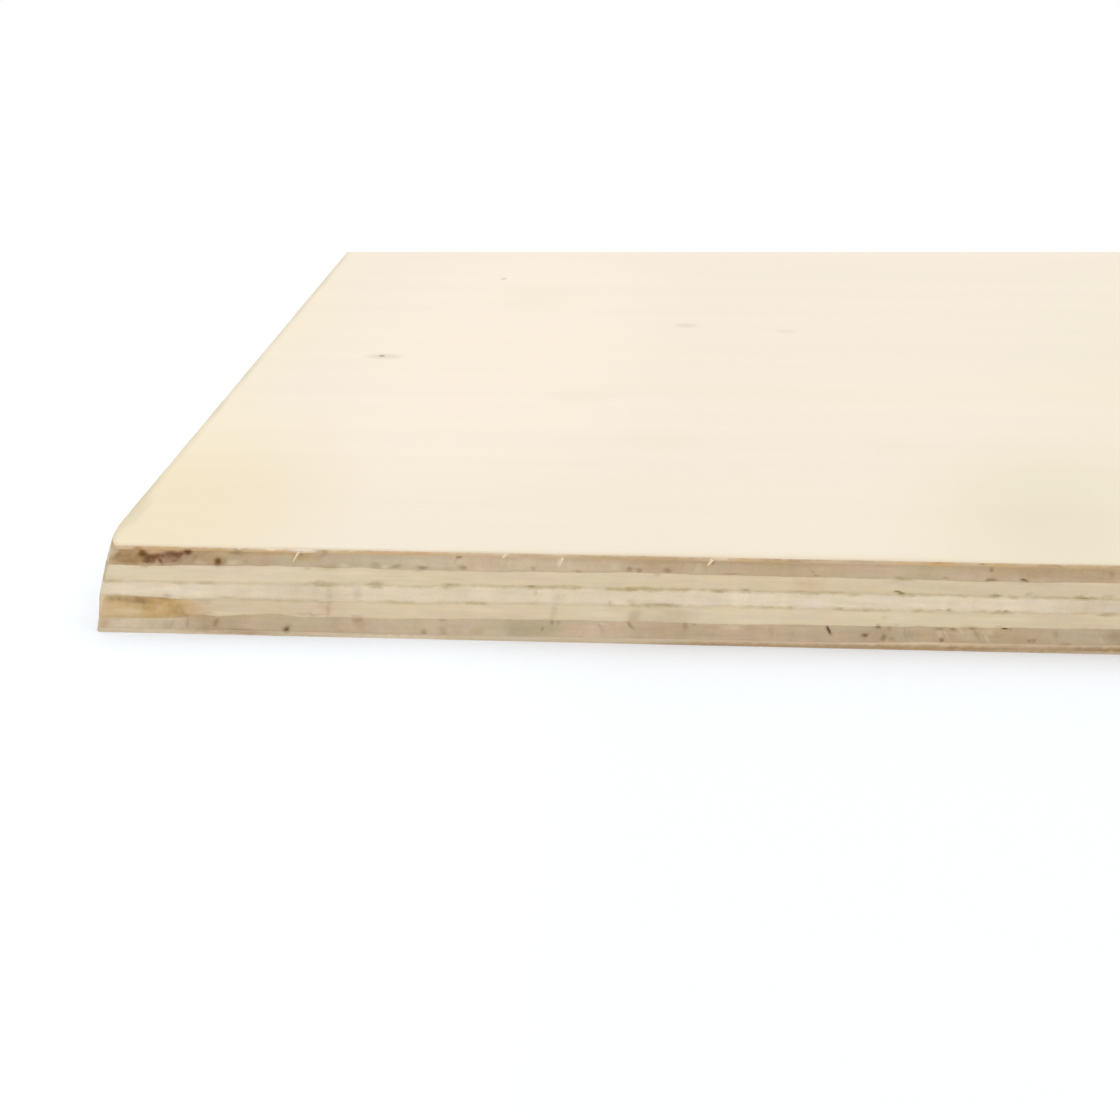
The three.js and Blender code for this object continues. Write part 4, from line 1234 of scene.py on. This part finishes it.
def build_floor(stage):
    """White background paper: matt, with the plywood's soft shadow, and a little brighter to the left."""
    half = stage.floor_size / 2
    corners = [(-half, -half, 0), (half, -half, 0), (half, half, 0), (-half, half, 0)]
    mesh = bpy.data.meshes.new("floor")
    mesh.from_pydata(corners, [], [(0, 1, 2, 3)])
    floor = bpy.data.objects.new("floor", mesh)
    bpy.context.scene.collection.objects.link(floor)

    material, tree, place = new_wood("white_background_paper")
    matt = add_node(tree, "ShaderNodeBsdfDiffuse", [stage.floor])
    along = add_node(tree, "ShaderNodeSeparateXYZ", [place], output="X")
    strengths = [along, *GLOW_CHANGE, stage.left_lift, stage.right_lift]
    brighter = add_node(tree, "ShaderNodeMapRange", strengths, **EASED)
    glow = add_node(tree, "ShaderNodeEmission", {"Strength": brighter, "Color": stage.glow})
    lifted = add_node(tree, "ShaderNodeAddShader", [matt, glow])
    shader = add_node(tree, "ShaderNodeMixShader", [seen_directly(tree), matt, lifted])
    add_node(tree, "ShaderNodeOutputMaterial", {"Surface": shader})
    mesh.materials.append(material)


def build_light(stage):
    """Even light from all round, a wide soft lamp above and behind, and a weak low one in front."""
    world = bpy.data.worlds.new("white_studio")
    bpy.context.scene.world = world
    world.use_nodes = True
    tree = world.node_tree
    tree.nodes.clear()
    light = add_node(tree, "ShaderNodeBackground", {"Color": SKY_TINT, "Strength": stage.sky})
    white = add_node(tree, "ShaderNodeBackground", {"Color": (1, 1, 1), "Strength": 1.0})
    shader = add_node(tree, "ShaderNodeMixShader", [seen_directly(tree), light, white])
    add_node(tree, "ShaderNodeOutputWorld", {"Surface": shader})

    for name, (elevation, azimuth, softness) in LAMPS.items():
        lamp = bpy.data.lights.new(name, "SUN")
        lamp.energy = getattr(stage, name)
        lamp.angle = math.radians(softness)
        holder = bpy.data.objects.new(name, lamp)
        holder.rotation_euler = (math.radians(90 - elevation), 0, math.radians(azimuth))
        bpy.context.scene.collection.objects.link(holder)


def build_camera(stage):
    """A camera low in front of the knocked corner. It sees the sheet up to a set depth."""
    data = bpy.data.cameras.new("camera")
    data.lens = stage.lens
    data.sensor_width = stage.sensor
    data.clip_start = 10 * MM
    data.clip_end = stage.view_depth
    camera = bpy.data.objects.new("camera", data)
    camera.location = Vector((CAD_LOW.x, CAD_LOW.y, 0)) + Vector(stage.stand)
    camera.rotation_euler = (math.pi / 2 - stage.pitch, 0, stage.yaw)
    bpy.context.scene.collection.objects.link(camera)
    bpy.context.scene.camera = camera
    bpy.context.scene.view_settings.view_transform = "Standard"


# ---------------------------------------------------------------- operators and panel


class PLYWOOD_OT_stage(bpy.types.Operator):
    """Set up the camera, the white floor and the studio light"""

    bl_idname = "plywood.stage"
    bl_label = "Stage"

    def execute(self, context):
        stage = context.scene.plywood.stage
        build_camera(stage)
        build_floor(stage)
        build_light(stage)
        return {"FINISHED"}


class PLYWOOD_OT_outer_veneers(bpy.types.Operator):
    """Make the sanded face and back veneers"""

    bl_idname = "plywood.outer_veneers"
    bl_label = "Face and Back Veneers"

    def execute(self, context):
        wood = context.scene.plywood.wood
        tints = (wood.crossband, wood.crossband_red, wood.crossband_grey)
        for side, colour, edge_colour, rows, marks in (
            ("face", wood.face, wood.outer_edge, 4, FACE_MARKS),
            ("back", wood.back, wood.back_edge, 5, ()),
        ):
            flat = face_wood(f"sanded_poplar_{side}", colour, marks)
            edge = sawn_wood(f"sawn_poplar_{side}_edge", ALONG, 0, edge_colour, *tints)
            node = f"{side}_veneer"
            make_veneer(node, f"sanded_{node}", ALONG, rows, flat, edge)
        return {"FINISHED"}


class PLYWOOD_OT_inner_veneers(bpy.types.Operator):
    """Make the five veneers inside"""

    bl_idname = "plywood.inner_veneers"
    bl_label = "Inner Veneers"

    def execute(self, context):
        # Every edge has a row of faces for each 0.13 to 0.23 mm of its height.
        wood = context.scene.plywood.wood
        colours = (wood.core, wood.crossband, wood.crossband_red, wood.crossband_grey)
        crossband = sawn_wood("sawn_eucalyptus_crossband", ACROSS, 0.045, *colours)
        tints = (wood.core_red, wood.core_grey)
        core = sawn_wood("sawn_poplar_core", ALONG, 0.03, wood.core, wood.crossband, *tints)
        centre = sawn_wood("sawn_poplar_centre", ACROSS, 0, wood.core, wood.centre, *tints)
        for node, slot, grain, rows, surface in (
            ("upper_crossband", "crossband_wood", ACROSS, 14, crossband),
            ("upper_core_ply", "core_wood", ALONG, 11, core),
            ("centre_ply", "core_wood", ACROSS, 10, centre),
            ("lower_core_ply", "core_wood", ALONG, 11, core),
            ("lower_crossband", "crossband_wood", ACROSS, 15, crossband),
        ):
            make_veneer(node, f"sawn_{node}", grain, rows, surface, surface)
        return {"FINISHED"}


class PLYWOOD_OT_torn_fibres(bpy.types.Operator):
    """Make the splinters along the arris"""

    bl_idname = "plywood.torn_fibres"
    bl_label = "Torn Fibres"

    def execute(self, context):
        points, data = fibre_points()
        base = base_mesh("torn_fibres_base", points, [], data)
        values = {"Bend": 0.25, "Wood": fibre_wood("torn_poplar_fibre")}
        fibres = run_tree("torn_fibres", base, torn_fibre_tree(), values)
        show_piece("torn_fibres", fibres)
        return {"FINISHED"}


class PLYWOOD_PT_sheet(bpy.types.Panel):
    """Lists the steps that make the sheet, and their settings"""

    bl_idname = "PLYWOOD_PT_sheet"
    bl_label = "Plywood Sheet"
    bl_space_type = "VIEW_3D"
    bl_region_type = "UI"
    bl_category = "Plywood"

    def draw(self, context):
        plywood = context.scene.plywood
        for operator in OPERATORS:
            self.layout.operator(operator.bl_idname)
        for group in (plywood.edge, plywood.wood, plywood.stage):
            box = self.layout.box()
            for name in group.__annotations__:
                box.prop(group, name)


OPERATORS = (PLYWOOD_OT_stage, PLYWOOD_OT_outer_veneers, PLYWOOD_OT_inner_veneers, PLYWOOD_OT_torn_fibres)
CLASSES = (SawnEdgeSettings, WoodSettings, StageSettings, PlywoodSettings, *OPERATORS, PLYWOOD_PT_sheet)


def register():
    for cls in CLASSES:
        bpy.utils.register_class(cls)
    bpy.types.Scene.plywood = bpy.props.PointerProperty(type=PlywoodSettings)


def unregister():
    del bpy.types.Scene.plywood
    for cls in reversed(CLASSES):
        bpy.utils.unregister_class(cls)


def main():
    """Makes the whole sheet: the stage, the veneers and the torn fibres."""
    register()
    bpy.ops.plywood.stage()
    bpy.ops.plywood.outer_veneers()
    bpy.ops.plywood.inner_veneers()
    bpy.ops.plywood.torn_fibres()


if __name__ == "__main__":
    main()
